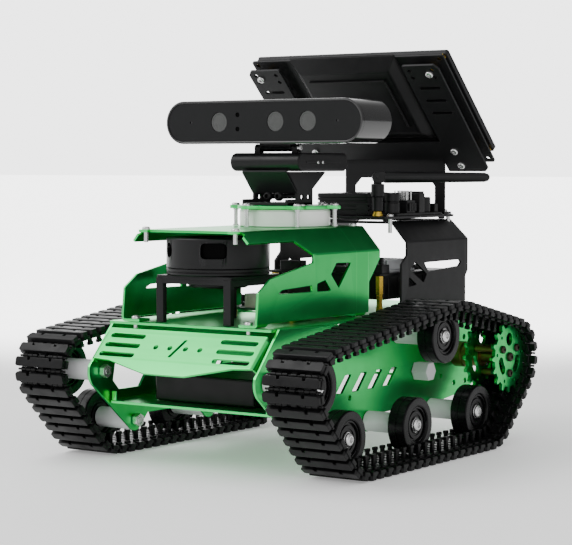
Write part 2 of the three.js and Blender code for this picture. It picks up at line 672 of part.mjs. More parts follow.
// Board behind the display, its spacers and the tapered housing of the display's driver.
function screenBoard() {
  const board = slab(-SCREEN_HALF, SCREEN_HALF, -3, 106, -9.2, -7.6);
  const gapPosts = [-70, 70].flatMap((x) => [8, 92].map((v) =>
    rod('z', x, v, 3, -13.8, -4.3, 6)));
  const housing = prism('x', [[-2, -9], [6, -15], [68, -15], [76, -9]], -44, 44);
  const boss = slab(-34, 34, 12, 66, -18, -14.5);
  return tiltedScreen(join(board, gapPosts, housing, boss));
}

// Two slotted arms joined by a band that carries them on the stand.
function screenBracket() {
  const arm = [[53, 0], [79, 0], [82, 4], [82, 106], [79, 109], [48, 109], [48, 96]];
  const outline = [
    ...arm, ...arm.map(([x, v]) => [-x, v]).reverse(), [-53, 78], [53, 78],
  ];
  const plate = prism('z', outline, -16, -14.1);
  const slots = [22.5, 35, 47.5].flatMap((v) => [-67.5, 67.5].map((x) =>
    prism('z', slot(x, v, 17, 2.6), -17, -13)));
  const heads = [8.5, 87, 102].flatMap((v) => [-1, 1].map((side) =>
    rod('z', side * (v < 50 ? 73 : 61.5), v, 2.6, -17.4, -15.5, 6)));
  const offCentre = -3;                      // the bracket sits a little to the right
  return tiltedScreen(join(cut(plate, slots), heads).translate([offCentre, 0, 0]));
}

// Portal stand: two legs and a cross bar, folded over at the top to the screen's slope.
function screenStand() {
  const foot = REAR_DECK_Z + GAP;
  const sheet = 1.6;
  const bendZ = 204.6;
  const fold = 20;                           // length of the sloping fold
  const path = [
    [STAND_Y - fold * Math.cos(SCREEN_LEAN), bendZ + fold * Math.sin(SCREEN_LEAN)],
    [STAND_Y, bendZ], [STAND_Y, foot], [STAND_Y + 11, foot],
  ];
  const body = prism('x', sheetOutline(path, sheet), -44, 44);
  const window = prism('y', [
    [-35.5, foot - 1], [35.5, foot - 1], [35.5, 184], [30, 190], [-30, 190], [-35.5, 184],
  ], STAND_Y - 5, STAND_Y + 20);
  const heads = onBothSides(rod('z', 40, 153.5, 2.6, foot + sheet - 0.5, foot + sheet + 1.6, 6));
  return join(cut(body, window), heads);
}

// ---------------------------------------------------------------- antenna
// Antenna pieces stand on the z axis with the rod along +X; a group turns them into place.
function antennaSocket() {
  const bottom = REAR_DECK_Z + GAP;
  return join(rod('z', 0, 0, 3.8, bottom, bottom + 1.6, 6), rod('z', 0, 0, 3, bottom, 166.2, 10));
}

// Round barrel with a flat tongue that the blade's fork turns on.
function antennaBase() {
  const shoulder = ANTENNA_HINGE_Z - ANTENNA_RADIUS - 0.5;
  const barrel = rod('z', 0, 0, 4.8, 166.5, shoulder, 10);
  const tongue = prism('y', [
    ...arc(0, ANTENNA_HINGE_Z, 3, 0, 180, 6), [-3, shoulder - 1], [3, shoulder - 1],
  ], -1.2, 1.2);
  return join(barrel, tongue);
}

function antennaRod() {
  const start = 4.6;
  const rodBody = turned([
    [start, 0], [start, ANTENNA_RADIUS], [start + 10, ANTENNA_RADIUS],
    [ANTENNA_LENGTH - 4, 3.4], [ANTENNA_LENGTH - 1, 2.5], [ANTENNA_LENGTH, 0],
  ], 0, ANTENNA_HINGE_Z, 12);
  const cheek = prism('y', [
    ...arc(0, ANTENNA_HINGE_Z, ANTENNA_RADIUS, 90, 270, 6),
    [start + 1, ANTENNA_HINGE_Z - 3], [start + 1, ANTENNA_HINGE_Z + 3],
  ], 1.5, 3.6);
  return join(rodBody, cheek, cheek.mirror([0, 1, 0]));
}

// ---------------------------------------------------------------- assembly
function addRunningGear() {
  const wheel = wheelBody();
  const axle = axleBody();
  const belt = trackBelt();
  const discs = { outer: outerSprocket(), inner: innerSprocket() };
  const drive = motor();
  const plate = sidePlate();
  const spacer = hexSpacer();
  for (const [name, side] of SIDES) {
    const own = (body) => (side > 0 ? body : mirrorX(body));
    const stations = [
      ['idler', IDLER.y, IDLER.z], ['return', RETURN_ROLLER.y, RETURN_ROLLER.z],
      ...ROAD_WHEEL_Y.map((y, i) => [`road_${i + 1}`, y, AXLE_Z]),
    ];
    for (const [role, y, z] of stations) {
      part(`${role}_wheel_${name}`, BLACK_PLASTIC, wheel).position.set(side * TRACK_X, y, z);
      part(`${role}_axle_${name}`, STEEL, own(axle)).position.set(0, y, z);
    }
    part(`track_${name}`, RUBBER, own(belt));
    part(`sprocket_outer_${name}`, GREEN, own(discs.outer));
    part(`sprocket_inner_${name}`, GREEN, own(discs.inner));
    part(`motor_${name}`, STEEL, own(drive));
    part(`side_plate_${name}`, GREEN, own(plate));
    part(`hex_spacer_${name}`, STEEL, own(spacer));
  }
}

function addHull() {
  part('bottom_plate', GREEN, bottomPlate());
  part('deck_plate', GREEN, deckPlate());
  part('front_bumper', GREEN, bumper());
  part('rear_panel', GREEN, rearPanel());
  part('battery_pack', BLACK_PLASTIC, battery());
}

function addUpperWorks() {
  part('front_cover', GREEN, frontCover());
  part('rear_cover', BLACK_METAL, rearCover());
  part('rear_deck', BLACK_METAL, rearDeck());
  part('front_board', BOARD, frontBoard());
  part('driver_board', BLACK_PLASTIC, driverBoard());
  part('computer_case', BLACK_PLASTIC, computerCase());
  part('connector_board', BLACK_PLASTIC, connectorBoard());
  part('lidar_bracket', BLACK_METAL, lidarBracket());
  part('lidar_base', BLACK_PLASTIC, lidarBase());
  part('lidar_head', BLACK_PLASTIC, lidarHead());
  part('speaker_drum', SILVER, speakerDrum());
  part('drum_cap', GREEN, drumCap());
}

function addCameraAndScreen() {
  part('camera_bracket', BLACK_METAL, cameraBracket());
  part('camera_foot', BLACK_PLASTIC, cameraFoot());
  part('camera_body', BLACK_PLASTIC, cameraBody());
  part('screen_stand', BLACK_METAL, screenStand());
  part('screen_bracket', BLACK_METAL, screenBracket());
  part('screen_board', BLACK_PLASTIC, screenBoard());
  part('screen_display', GLASS, display());
}

function addAntenna() {
  const pieces = [
    part('antenna_socket', BRASS, antennaSocket()),
    part('antenna_base', BLACK_PLASTIC, antennaBase()),
    part('antenna_rod', BLACK_PLASTIC, antennaRod()),
  ];
  const mast = new THREE.Group();
  mast.add(...pieces);
  mast.position.set(ANTENNA.x, ANTENNA.y, 0);
  mast.rotation.z = ANTENNA_YAW;
  vehicle.add(mast);
}

addRunningGear();
addHull();
addUpperWorks();
addCameraAndScreen();
addAntenna();

// The footprint's centre becomes the origin.
const bounds = new THREE.Box3().setFromObject(vehicle, true);
vehicle.position.y = -(bounds.min.y + bounds.max.y) / 2;

export default vehicle;
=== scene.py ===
"""Tracked tank chassis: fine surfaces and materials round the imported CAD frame.

All shapes are drawn in millimetres, with y measured from the middle road wheel, and are
then moved into the frame, which is in metres with its origin under the middle of the vehicle.
"""

import math

import bmesh
import bpy
from mathutils import Matrix, Vector


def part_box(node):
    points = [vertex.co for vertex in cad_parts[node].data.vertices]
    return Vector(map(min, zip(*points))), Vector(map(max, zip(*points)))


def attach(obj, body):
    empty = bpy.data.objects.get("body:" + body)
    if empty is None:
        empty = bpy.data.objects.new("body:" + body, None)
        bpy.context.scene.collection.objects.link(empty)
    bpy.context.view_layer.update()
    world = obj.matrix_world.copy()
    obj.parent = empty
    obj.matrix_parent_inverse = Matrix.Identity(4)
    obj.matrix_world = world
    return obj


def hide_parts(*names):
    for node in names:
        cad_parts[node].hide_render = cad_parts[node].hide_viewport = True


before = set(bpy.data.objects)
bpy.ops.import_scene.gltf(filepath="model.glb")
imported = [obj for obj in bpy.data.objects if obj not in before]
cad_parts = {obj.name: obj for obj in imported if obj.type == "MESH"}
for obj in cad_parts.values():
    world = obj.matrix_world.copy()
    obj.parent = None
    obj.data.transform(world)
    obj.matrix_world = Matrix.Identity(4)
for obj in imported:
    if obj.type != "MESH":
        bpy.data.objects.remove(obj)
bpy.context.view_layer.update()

MM = 0.001
SHIFT = sum(corner.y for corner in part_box("road_2_wheel_left")) / 2
PLACE = Matrix.Translation((0, SHIFT, 0)) @ Matrix.Scale(MM, 4)
SIDES = (("left", 1), ("right", -1))
SHEET = 1.8                            # thickness of the folded sheet metal
GAP = 0.3                              # between separate parts

ALONG_X = Matrix.Rotation(math.pi / 2, 4, "Y")
ALONG_Y = Matrix.Rotation(math.pi / 2, 4, "X")
# A flat outline drawn as (y, z), with its thickness along x.
FACING_X = Matrix(((0, 0, 1, 0), (1, 0, 0, 0), (0, 1, 0, 0), (0, 0, 0, 1)))


def corners(node):
    """Lowest and highest corner of a CAD node, in drawing coordinates."""
    return [(c - Vector((0, SHIFT, 0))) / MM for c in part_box(node)]


def centre(node):
    low, high = corners(node)
    return (low + high) / 2


def linked(name, data):
    obj = bpy.data.objects.new(name, data)
    bpy.context.collection.objects.link(obj)
    return obj


def aimed(obj, position, direction):
    obj.location = position
    obj.rotation_mode = "QUATERNION"
    obj.rotation_quaternion = direction.to_track_quat("-Z", "Y")


# ------------------------------------------------------------------ camera
def add_camera():
    azimuth, pitch = math.radians(34.45), math.radians(3.22)
    back = Vector((
        math.sin(azimuth) * math.cos(pitch), -math.cos(azimuth) * math.cos(pitch), math.sin(pitch)))
    data = bpy.data.cameras.new("camera")
    data.sensor_width = 36
    data.lens = 119.27
    data.clip_end = 50
    camera = linked("camera", data)
    aimed(camera, (0.750, -1.092 + SHIFT, 0.199), -back)
    bpy.context.scene.camera = camera


# ------------------------------------------------------------------ materials
def srgb(red, green, blue):
    """8-bit colour as linear RGBA."""
    def linear(value):
        value /= 255
        return value / 12.92 if value <= 0.04045 else ((value + 0.055) / 1.055) ** 2.4
    return (linear(red), linear(green), linear(blue), 1)


def shaded(colour, factor):
    return tuple(min(1, c * factor) for c in colour[:3]) + (1,)


class Finish:
    """A node material: colour mottle, roughness mottle, fine bump, and paler worn edges.

    Colours are 8-bit. The bump is noise at the scale of grain, depth millimetres high.
    """

    def __init__(self, name, colour, roughness, metallic=0.0, mottle=0.06, mottle_scale=60,
                 smudge=0.06, grain=2500, depth=0.003, stretch=None, edge=0, edge_colour=None,
                 specular=0.5):
        self.material = bpy.data.materials.new(name)
        self.material.use_nodes = True
        self.nodes = self.material.node_tree.nodes
        self.links = self.material.node_tree.links
        self.shader = self.nodes["Principled BSDF"]
        self.shader.inputs["Metallic"].default_value = metallic
        self.shader.inputs["Specular IOR Level"].default_value = specular
        self.place = self.nodes.new("ShaderNodeTexCoord").outputs["Object"]
        self.colour(srgb(*colour), mottle, mottle_scale, edge, edge_colour)
        self.roughness(roughness, smudge)
        self.bump(grain, depth, stretch)

    def noise(self, scale, detail=3.0, stretch=None):
        node = self.nodes.new("ShaderNodeTexNoise")
        node.inputs["Scale"].default_value = scale
        node.inputs["Detail"].default_value = detail
        source = self.place
        if stretch:
            mapping = self.nodes.new("ShaderNodeMapping")
            mapping.inputs["Scale"].default_value = stretch
            self.links.new(source, mapping.inputs["Vector"])
            source = mapping.outputs["Vector"]
        self.links.new(source, node.inputs["Vector"])
        return node.outputs["Fac"]

    def ramp(self, source, low, high, start=0.3, end=0.7):
        node = self.nodes.new("ShaderNodeValToRGB")
        first, last = node.color_ramp.elements
        first.position, first.color = start, low
        last.position, last.color = end, high
        self.links.new(source, node.inputs["Fac"])
        return node.outputs["Color"]

    def colour(self, base, mottle, scale, edge, edge_colour):
        result = self.ramp(self.noise(scale), shaded(base, 1 - mottle), shaded(base, 1 + mottle))
        if edge:
            point = self.nodes.new("ShaderNodeNewGeometry").outputs["Pointiness"]
            mask = self.ramp(point, (0, 0, 0, 1), (edge, edge, edge, 1), 0.505, 0.56)
            mix = self.nodes.new("ShaderNodeMixRGB")
            mix.inputs["Color2"].default_value = srgb(*edge_colour)
            self.links.new(mask, mix.inputs["Fac"])
            self.links.new(result, mix.inputs["Color1"])
            result = mix.outputs["Color"]
        self.links.new(result, self.shader.inputs["Base Color"])

    def roughness(self, value, smudge):
        low, high = (max(0, value - smudge),) * 3 + (1,), (min(1, value + smudge),) * 3 + (1,)
        self.links.new(self.ramp(self.noise(110, 5), low, high), self.shader.inputs["Roughness"])

    def bump(self, scale, depth, stretch):
        node = self.nodes.new("ShaderNodeBump")
        node.inputs["Strength"].default_value = 0.35
        node.inputs["Distance"].default_value = depth * MM
        self.links.new(self.noise(scale, 2, stretch), node.inputs["Height"])
        self.links.new(node.outputs["Normal"], self.shader.inputs["Normal"])


def make_materials():
    finishes = {
        "green": Finish("green_anodised", (44, 192, 96), 0.31, 1.0, mottle=0.02, mottle_scale=30,
                        smudge=0.02, grain=1500, depth=0.0004, edge=0.5,
                        edge_colour=(90, 250, 140)),
        "black_metal": Finish("black_anodised", (20, 20, 21), 0.42, 0.2, smudge=0.03, grain=1500,
                              depth=0.001, edge=0.3, edge_colour=(60, 60, 62), specular=0.2),
        "plastic": Finish("black_moulded", (11, 11, 12), 0.36, mottle=0.12, depth=0.006, edge=0.25,
                          edge_colour=(40, 40, 41), specular=0.2),
        "camera": Finish("camera_shell", (9, 9, 10), 0.14, mottle=0.05, smudge=0.02, depth=0.001,
                         specular=0.9),
        "camera_face": Finish("camera_face", (30, 30, 31), 0.5, mottle=0.04, depth=0.002,
                              specular=0.1),
        "track": Finish("track_plastic", (10, 10, 11), 0.40, mottle=0.25, mottle_scale=220,
                        smudge=0.10, grain=1800, depth=0.015, edge=0.3, edge_colour=(46, 46, 47),
                        specular=0.2),
        "tyre": Finish("wheel_plastic", (9, 9, 10), 0.24, mottle=0.15, mottle_scale=120, grain=2000,
                       depth=0.005, edge=0.2, edge_colour=(40, 40, 42), specular=0.16),
        "aluminium": Finish("turned_aluminium", (228, 228, 230), 0.5, 0.1, mottle=0.03, grain=900,
                            depth=0.01, stretch=(12, 1, 1)),
        "steel": Finish("screw_steel", (214, 214, 214), 0.24, 0.9),
        "motor": Finish("motor_can", (170, 171, 172), 0.33, 1.0, grain=700, depth=0.01,
                        stretch=(1, 12, 12)),
        "brass": Finish("brass", (190, 158, 62), 0.3, 1.0, mottle=0.08),
        # Brass painted darker and greener, as it looks in the green shade between the sprocket discs:
        # painted shade
        "painted_shade_brass": Finish("painted_shade_brass_spacer", (122, 108, 58), 0.38, 0.9, mottle=0.10),
        "dark_screw": Finish("dark_screw", (52, 46, 36), 0.3, 0.8, mottle=0.10),
        "silver": Finish("brushed_drum", (244, 243, 240), 0.36, 0.15, mottle=0.03, grain=500,
                         depth=0.01, stretch=(1, 1, 25)),
        "lens": Finish("lens_disc", (74, 74, 74), 0.3, mottle_scale=300, depth=0.002, specular=0.2),
        # Near-black and almost unreflecting: the dark optics and sensors, together with painted shade
        # of the hollows they sit in
        "dark_optics_and_hollow_shade": Finish("dark_window_and_hollow_shade", (3, 3, 3), 0.4, mottle=0.05, depth=0.002, specular=0.03),
        "glass": Finish("screen_glass", (10, 11, 13), 0.06, mottle=0.05, smudge=0.02, depth=0.001),
        "circuit": Finish("solder_resist", (28, 84, 52), 0.38, mottle=0.25, mottle_scale=500,
                          grain=1500, depth=0.02),
        "dark_circuit": Finish("dark_board", (13, 14, 15), 0.42, mottle=0.2, mottle_scale=500,
                               grain=1500, depth=0.02, specular=0.2),
        "cream": Finish("cream_socket", (214, 208, 192), 0.42, depth=0.01),
        "heat_sink": Finish("heat_sink", (176, 178, 180), 0.45, 0.4, depth=0.01),
        "film": Finish("battery_film", (12, 11, 12), 0.34, mottle=0.12, mottle_scale=30, grain=400,
                       depth=0.02, specular=0.2),
    }
    return {key: finish.material for key, finish in finishes.items()}


LOOK = make_materials()


# ------------------------------------------------------------------ mesh helpers
def polar(radius, angle, u=0, v=0):
    """Point at an angle, in degrees, on a circle about (u, v)."""
    return (u + radius * math.cos(math.radians(angle)), v + radius * math.sin(math.radians(angle)))


def arc(u, v, radius, start, end, steps):
    """Points on an arc; angles in degrees."""
    return [polar(radius, start + (end - start) * i / steps, u, v) for i in range(steps + 1)]


def circle(u, v, radius, sides=32):
    return arc(u, v, radius, 0, 360, sides)[:-1]


def stadium(u, v, length, width, steps=10):
    """A slot along the first coordinate."""
    r = width / 2
    h = length / 2 - r
    return arc(u + h, v, r, -90, 90, steps) + arc(u - h, v, r, 90, 270, steps)


def rectangle(u0, u1, v0, v1):
    return [(u0, v0), (u1, v0), (u1, v1), (u0, v1)]


def softened(outline, radius, steps=3):
    """The outline with each corner rounded by an arc that touches both of its edges."""
    points = [Vector(p) for p in outline]
    result = []
    for i, p in enumerate(points):
        before = points[i - 1] - p
        after = points[(i + 1) % len(points)] - p
        turn = before.angle(after)
        if turn > math.radians(172):
            result.append(tuple(p))
            continue
        reach = min(radius / math.tan(turn / 2), 0.45 * before.length, 0.45 * after.length)
        start, end = p + before.normalized() * reach, p + after.normalized() * reach
        for k in range(steps + 1):
            t = k / steps
            point = start * (1 - t) ** 2 + p * 2 * t * (1 - t) + end * t ** 2
            result.append(tuple(point))
    return result


def plate(outer, holes=(), low=-SHEET, high=0.0, edge=0.2):
    """A flat plate with rounded edges, drawn in x and y, from z = low to z = high."""
    curve = bpy.data.curves.new("outline", "CURVE")
    curve.dimensions = "2D"
    curve.fill_mode = "BOTH"
    curve.extrude = (high - low) / 2 - edge
    curve.bevel_depth = edge
    curve.bevel_resolution = 1
    curve.offset = -edge
    for ring in (outer, *holes):
        spline = curve.splines.new("POLY")
        spline.points.add(len(ring) - 1)
        for point, (u, v) in zip(spline.points, ring):
            point.co = (u, v, 0, 1)
        spline.use_cyclic_u = True
    holder = bpy.data.objects.new("outline", curve)
    mesh = bpy.data.meshes.new_from_object(holder)
    bm = bmesh.new()
    bm.from_mesh(mesh)
    bpy.data.objects.remove(holder)
    bpy.data.curves.remove(curve)
    bpy.data.meshes.remove(mesh)
    bmesh.ops.remove_doubles(bm, verts=bm.verts, dist=0.002)
    bmesh.ops.translate(bm, verts=bm.verts, vec=(0, 0, (low + high) / 2))
    return bm


def bridged(bm, rings, sides):
    """Faces between neighbouring rings, each a list of vertices; a ring of one is a point."""
    for a, b in zip(rings, rings[1:]):
        for i in range(sides):
            j = (i + 1) % sides
            quad = [a[i % len(a)], a[j % len(a)], b[j % len(b)], b[i % len(b)]]
            face = list(dict.fromkeys(quad))
            if len(face) > 2:
                bm.faces.new(face)


def level_ring(bm, radius, z, sides, count):
    """The first few vertices of a level circle."""
    return [bm.verts.new((radius * math.cos(2 * math.pi * i / sides),
                          radius * math.sin(2 * math.pi * i / sides), z)) for i in range(count)]


def flat(u0, u1, v0, v1, corner, low, high, edge, holes=(), steps=3):
    """A rectangular plate with rounded corners."""
    return plate(softened(rectangle(u0, u1, v0, v1), corner, steps), holes, low, high, edge)


def lathe(profile, sides=48):
    """A body of revolution about z from (z, radius) pairs; radius 0 closes it on the axis."""
    bm = bmesh.new()
    rings = [level_ring(bm, radius, z, sides, 1 if radius < 1e-6 else sides)
             for z, radius in profile]
    bridged(bm, rings, sides)
    bmesh.ops.recalc_face_normals(bm, faces=bm.faces)
    return bm


def rod(radius, low, high, edge=0.3, sides=20):
    """A round bar about z with chamfered ends; six sides make it a hexagon."""
    return lathe([(low, 0), (low, radius - edge), (low + edge, radius), (high - edge, radius),
                  (high, radius - edge), (high, 0)], sides)


def block(x0, x1, y0, y1, z0, z1, edge=0.3, segments=2):
    bm = bmesh.new()
    bmesh.ops.create_cube(bm, size=1)
    for v in bm.verts:
        v.co = ((x0 + x1) / 2 + v.co.x * (x1 - x0), (y0 + y1) / 2 + v.co.y * (y1 - y0),
                (z0 + z1) / 2 + v.co.z * (z1 - z0))
    if edge:
        bmesh.ops.bevel(bm, geom=bm.edges[:], offset=edge, segments=segments, affect="EDGES",
                        profile=0.5)
    return bm


def moved(bm, matrix):
    bm.transform(matrix)
    if matrix.determinant() < 0:
        bmesh.ops.reverse_faces(bm, faces=bm.faces)
    return bm


def at(x, y, z):
    return Matrix.Translation((x, y, z))


def mirrored_if(sign):
    """Turns a shape drawn for the +x side to the -x side when sign is -1."""
    return Matrix.Scale(sign, 4, (1, 0, 0))


def mesh_from(name, bm):
    mesh = bpy.data.meshes.new(name)
    bm.to_mesh(mesh)
    bm.free()
    return mesh


def joined(*bodies):
    """One mesh from several, which are used up."""
    whole = bmesh.new()
    for bm in bodies:
        mesh = mesh_from("part", bm)
        whole.from_mesh(mesh)
        bpy.data.meshes.remove(mesh)
    return whole


def both_sides(bm):
    return [bm, moved(bm.copy(), mirrored_if(-1))]


def repeated(bm, places):
    """Copies of a mesh at each (x, y); the mesh itself is used up."""
    copies = [moved(bm.copy(), at(x, y, 0)) for x, y in places]
    bm.free()
    return copies


def grid(xs, ys):
    return [(x, y) for x in xs for y in ys]


SHARP = math.radians(32)


def piece(name, bm, look, body="chassis", stands_for=None):
    """Places a finished mesh in the frame as one object that rides on a body."""
    bm.transform(PLACE)
    mesh = mesh_from(name, bm)
    mesh.polygons.foreach_set("use_smooth", [True] * len(mesh.polygons))
    mesh.set_sharp_from_angle(angle=SHARP)
    mesh.materials.append(LOOK[look])
    obj = linked(name, mesh)
    weighted = obj.modifiers.new("weighted", "WEIGHTED_NORMAL")
    weighted.keep_sharp = True
    weighted.weight = 80
    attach(obj, body)
    if stands_for:
        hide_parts(stands_for)
    return obj


# ------------------------------------------------------------------ folded sheet
def along_folds(s, folds, radius):
    """Point and heading at distance s along a folded section that starts level, heading +x."""
    x, z, heading, here = 0.0, 0.0, 0.0, 0.0
    for corner, angle in folds:
        reach = radius * math.tan(angle / 2)
        step = min(s, corner - reach) - here
        x += step * math.cos(heading)
        z -= step * math.sin(heading)
        if s <= corner - reach:
            return x, z, heading
        turned = angle * min(1.0, (s - corner + reach) / (2 * reach))
        x += radius * (math.sin(heading + turned) - math.sin(heading))
        z += radius * (math.cos(heading + turned) - math.cos(heading))
        heading += turned
        here = corner + reach
        if s <= here:
            return x, z, heading
    step = s - here
    return x + step * math.cos(heading), z - step * math.sin(heading), heading


FOLD_STEPS = 6


def scored(bm, corner, reach, across):
    """Cuts a plate along the lines where a fold will bend it; across is a unit vector."""
    for k in range(FOLD_STEPS + 1):
        line = corner - reach + 2 * reach * k / FOLD_STEPS
        bmesh.ops.bisect_plane(
            bm, geom=bm.verts[:] + bm.edges[:] + bm.faces[:], dist=1e-4,
            plane_co=line * across, plane_no=across)


def folded(bm, folds, radius=2.6):
    """Folds a flat plate down along lines of constant x, alike on both sides of x = 0."""
    for corner, angle in folds:
        for side in (-1, 1):
            scored(bm, corner, radius * math.tan(angle / 2), Vector((side, 0, 0)))
    for v in bm.verts:
        side = -1 if v.co.x < 0 else 1
        x, z, heading = along_folds(abs(v.co.x), folds, radius)
        out = v.co.z
        v.co.x = side * (x + out * math.sin(heading))
        v.co.z = z + out * math.cos(heading)
    return bm


# ------------------------------------------------------------------ screws
def button_head(radius, height):
    """Domed head with a six-sided socket, its underside at z = 0."""
    sides = 24
    socket = radius * 0.48
    profile = [(0, radius), (height * 0.35, radius)]
    profile += [(height * (0.35 + 0.65 * math.sin(math.radians(a))),
                 socket * 1.12 + (radius - socket * 1.12) * math.cos(math.radians(a)))
                for a in (20, 40, 60, 80, 90)]
    bm = bmesh.new()
    rings = [level_ring(bm, r, z, sides, sides) for z, r in profile]
    for z in (height, height * 0.35):
        ring = []
        for i in range(sides):
            a = 2 * math.pi * i / sides
            r = socket * 0.866 / math.cos((a % (math.pi / 3)) - math.pi / 6)
            ring.append(bm.verts.new((r * math.cos(a), r * math.sin(a), z)))
        rings.append(ring)
    bridged(bm, rings, sides)
    bm.faces.new(rings[-1])
    bm.faces.new(list(reversed(rings[0])))
    bmesh.ops.recalc_face_normals(bm, faces=bm.faces)
    return bm


def screw_up(x, y, z, radius=2.6, height=1.8, stub=0.0):
    """Screw whose head stands on a plate at height z, with a threaded end below the plate."""
    parts = [moved(button_head(radius, height), at(x, y, z))]
    if stub:
        parts.append(moved(rod(1.5, -stub, 0.2, 0.25, 16), at(x, y, z)))
    return joined(*parts)


def hex_nut(width, low, high):
    r = width / 2 / math.cos(math.radians(30))
    return plate(circle(0, 0, r, 6), [circle(0, 0, width * 0.27, 16)], low, high, 0.25)


# ------------------------------------------------------------------ tracks
LINK_PITCH = 9.5
LINK_HALF = 21.5
RIB_HALF = 21.0
WHEEL_RADIUS = 18.8
SPROCKET_ROOT = 21.7
NEUTRAL = 2.1                          # the hinge pins lie this far outside the wheels
BELT_OUTSIDE = 4.2
TREAD = 2.0


def wheel_centres(side):
    names = ("idler_wheel", "return_wheel", "road_1_wheel", "road_2_wheel", "road_3_wheel")
    return {name: centre(f"{name}_{side}") for name in names}


def belt_points(side, offset):
    """Dense points on the taut loop round the wheels and the sprocket."""
    rims = [(c.y, c.z, WHEEL_RADIUS) for c in wheel_centres(side).values()]
    sprocket = centre(f"sprocket_outer_{side}")
    rims.append((sprocket.y, sprocket.z, SPROCKET_ROOT))
    cloud = sorted(p for y, z, r in rims for p in circle(y, z, r + GAP + offset, 240))

    def half(points):
        hull = []
        for p in points:
            while len(hull) > 1:
                (ay, az), (by, bz) = hull[-2], hull[-1]
                if (by - ay) * (p[1] - az) - (bz - az) * (p[0] - ay) > 1e-9:
                    break
                hull.pop()
            hull.append(p)
        return hull[:-1]

    return half(cloud) + half(cloud[::-1])


def hinge_points(side):
    """Equally spaced hinge positions round the loop."""
    loop = [Vector(p) for p in belt_points(side, NEUTRAL)]
    lengths = [(loop[(i + 1) % len(loop)] - p).length for i, p in enumerate(loop)]
    total = sum(lengths)
    count = round(total / LINK_PITCH)
    result, passed, edge = [], 0.0, 0
    for i in range(count):
        target = total * i / count
        while passed + lengths[edge] < target:
            passed += lengths[edge]
            edge += 1
        t = (target - passed) / lengths[edge]
        result.append(loop[edge].lerp(loop[(edge + 1) % len(loop)], t))
    return result


def track_link(pitch):
    """One link: x across the track, y along the travel, z outwards from the hinge line."""
    half = pitch / 2
    inside, web, top = -1.7, 1.2, BELT_OUTSIDE - NEUTRAL + TREAD
    pad = half - 1.35
    parts = [flat(-LINK_HALF, LINK_HALF, -pad + 0.5, pad - 0.5, 0.6, inside, web, 0.25, steps=2)]
    # Cross rib: chamfered ends and two notches in its leading edge, over the sprocket's teeth.
    rib = [(-RIB_HALF, -pad + 1.2), (-RIB_HALF + 1.2, -pad)]
    for notch in (-9.6, 9.6):
        rib += [(notch - 1.3, -pad), (notch - 1.0, -pad + 2.0), (notch + 1.0, -pad + 2.0),
                (notch + 1.3, -pad)]
    rib += [(RIB_HALF - 1.2, -pad), (RIB_HALF, -pad + 1.2), (RIB_HALF, pad - 1.2),
            (RIB_HALF - 1.2, pad - 0.3), (-RIB_HALF + 1.2, pad - 0.3), (-RIB_HALF, pad - 1.2)]
    parts.append(plate(rib, (), web - 0.6, top, 0.4))
    # Hinge knuckles, alternately this link's and the next one's, and their pin.
    spans = [(-17.6, -13.4), (-13.1, -9.0), (-8.7, -4.8), (-2.2, 2.2), (4.8, 8.7), (9.0, 13.1),
             (13.4, 17.6)]
    for i, (x0, x1) in enumerate(spans):
        y = half if i % 2 else -half
        knuckle = rod(1.6, x0, x1, 0.25, 12)
        parts.append(moved(knuckle, at(0, y, -0.2) @ ALONG_X))
        arm_y = (y - 2.2, y) if y > 0 else (y, y + 2.2)
        parts.append(block(x0 + 0.1, x1 - 0.1, *arm_y, -1.6, 0.9, 0, 1))
    parts.append(moved(rod(0.8, -20.6, 20.6, 0.1, 10),
                       at(0, half, -0.2) @ ALONG_X))
    # Guide horns on the inside, either side of the wheels.
    for side in (-1, 1):
        x0, x1 = sorted((side * 7.1, side * 9.3))
        parts.append(block(x0, x1, -1.5, 1.5, -7.4, inside + 0.4, 0.35, 2))
        parts.append(block(x0 - 0.2, x1 + 0.2, -2.2, 2.2, -9.4, -7.0, 0.5, 2))
        x0, x1 = sorted((side * 15.0, side * 17.0))
        parts.append(block(x0, x1, -2.6, 2.6, -3.0, inside + 0.3, 0.25, 1))
    return joined(*parts)


def add_track(side):
    hinges = hinge_points(side)
    count = len(hinges)
    pitch = sum((hinges[(i + 1) % count] - p).length for i, p in enumerate(hinges)) / count
    mesh = mesh_from("link", track_link(pitch))
    x = centre(f"track_{side}").x
    whole = bmesh.new()
    for i, p in enumerate(hinges):
        q = hinges[(i + 1) % count]
        along = (q - p).normalized()
        middle = (p + q) / 2
        out = Vector((along.y, -along.x))
        start = len(whole.verts)
        whole.from_mesh(mesh)
        whole.verts.ensure_lookup_table()
        turn = Matrix(((1, 0, 0, x), (0, along.x, out.x, middle.x),
                       (0, along.y, out.y, middle.y), (0, 0, 0, 1)))
        for v in whole.verts[start:]:
            v.co = turn @ v.co
    bmesh.ops.recalc_face_normals(whole, faces=whole.faces)
    bpy.data.meshes.remove(mesh)
    piece(f"track_links_{side}", whole, "track", stands_for=f"track_{side}")


# ------------------------------------------------------------------ wheels and axles
def wheel_mesh():
    """Moulded wheel with a flat face ring, a stepped recess and a bearing, about z."""
    half = [
        (0.0, 3.3), (4.4, 3.3), (4.6, 3.6), (4.6, 5.6), (4.1, 5.8), (4.1, 7.0), (4.6, 7.2),
        (4.6, 9.3), (3.6, 9.6), (3.6, 10.9), (5.2, 11.3), (5.2, 12.3), (6.1, 12.7), (6.3, 13.1),
        (6.5, 13.4), (6.5, 17.9), (6.3, 18.4), (5.8, 18.7), (5.2, 18.8), (0.6, 18.8),
        (0.45, 18.5), (0.0, 18.5),
    ]
    mirrored = [(-z, r) for z, r in reversed(half)]
    return lathe(half + mirrored[1:], 72)


def add_wheels(side, sign):
    mesh = wheel_mesh()
    for role in ("idler", "return", "road_1", "road_2", "road_3"):
        c = centre(f"{role}_wheel_{side}")
        piece(f"{role}_wheel_detail_{side}", moved(mesh.copy(), at(*c) @ ALONG_X), "tyre",
              body=f"{role}_wheel_{side}_body", stands_for=f"{role}_wheel_{side}")
        add_axle(role, side, sign, c)
    mesh.free()


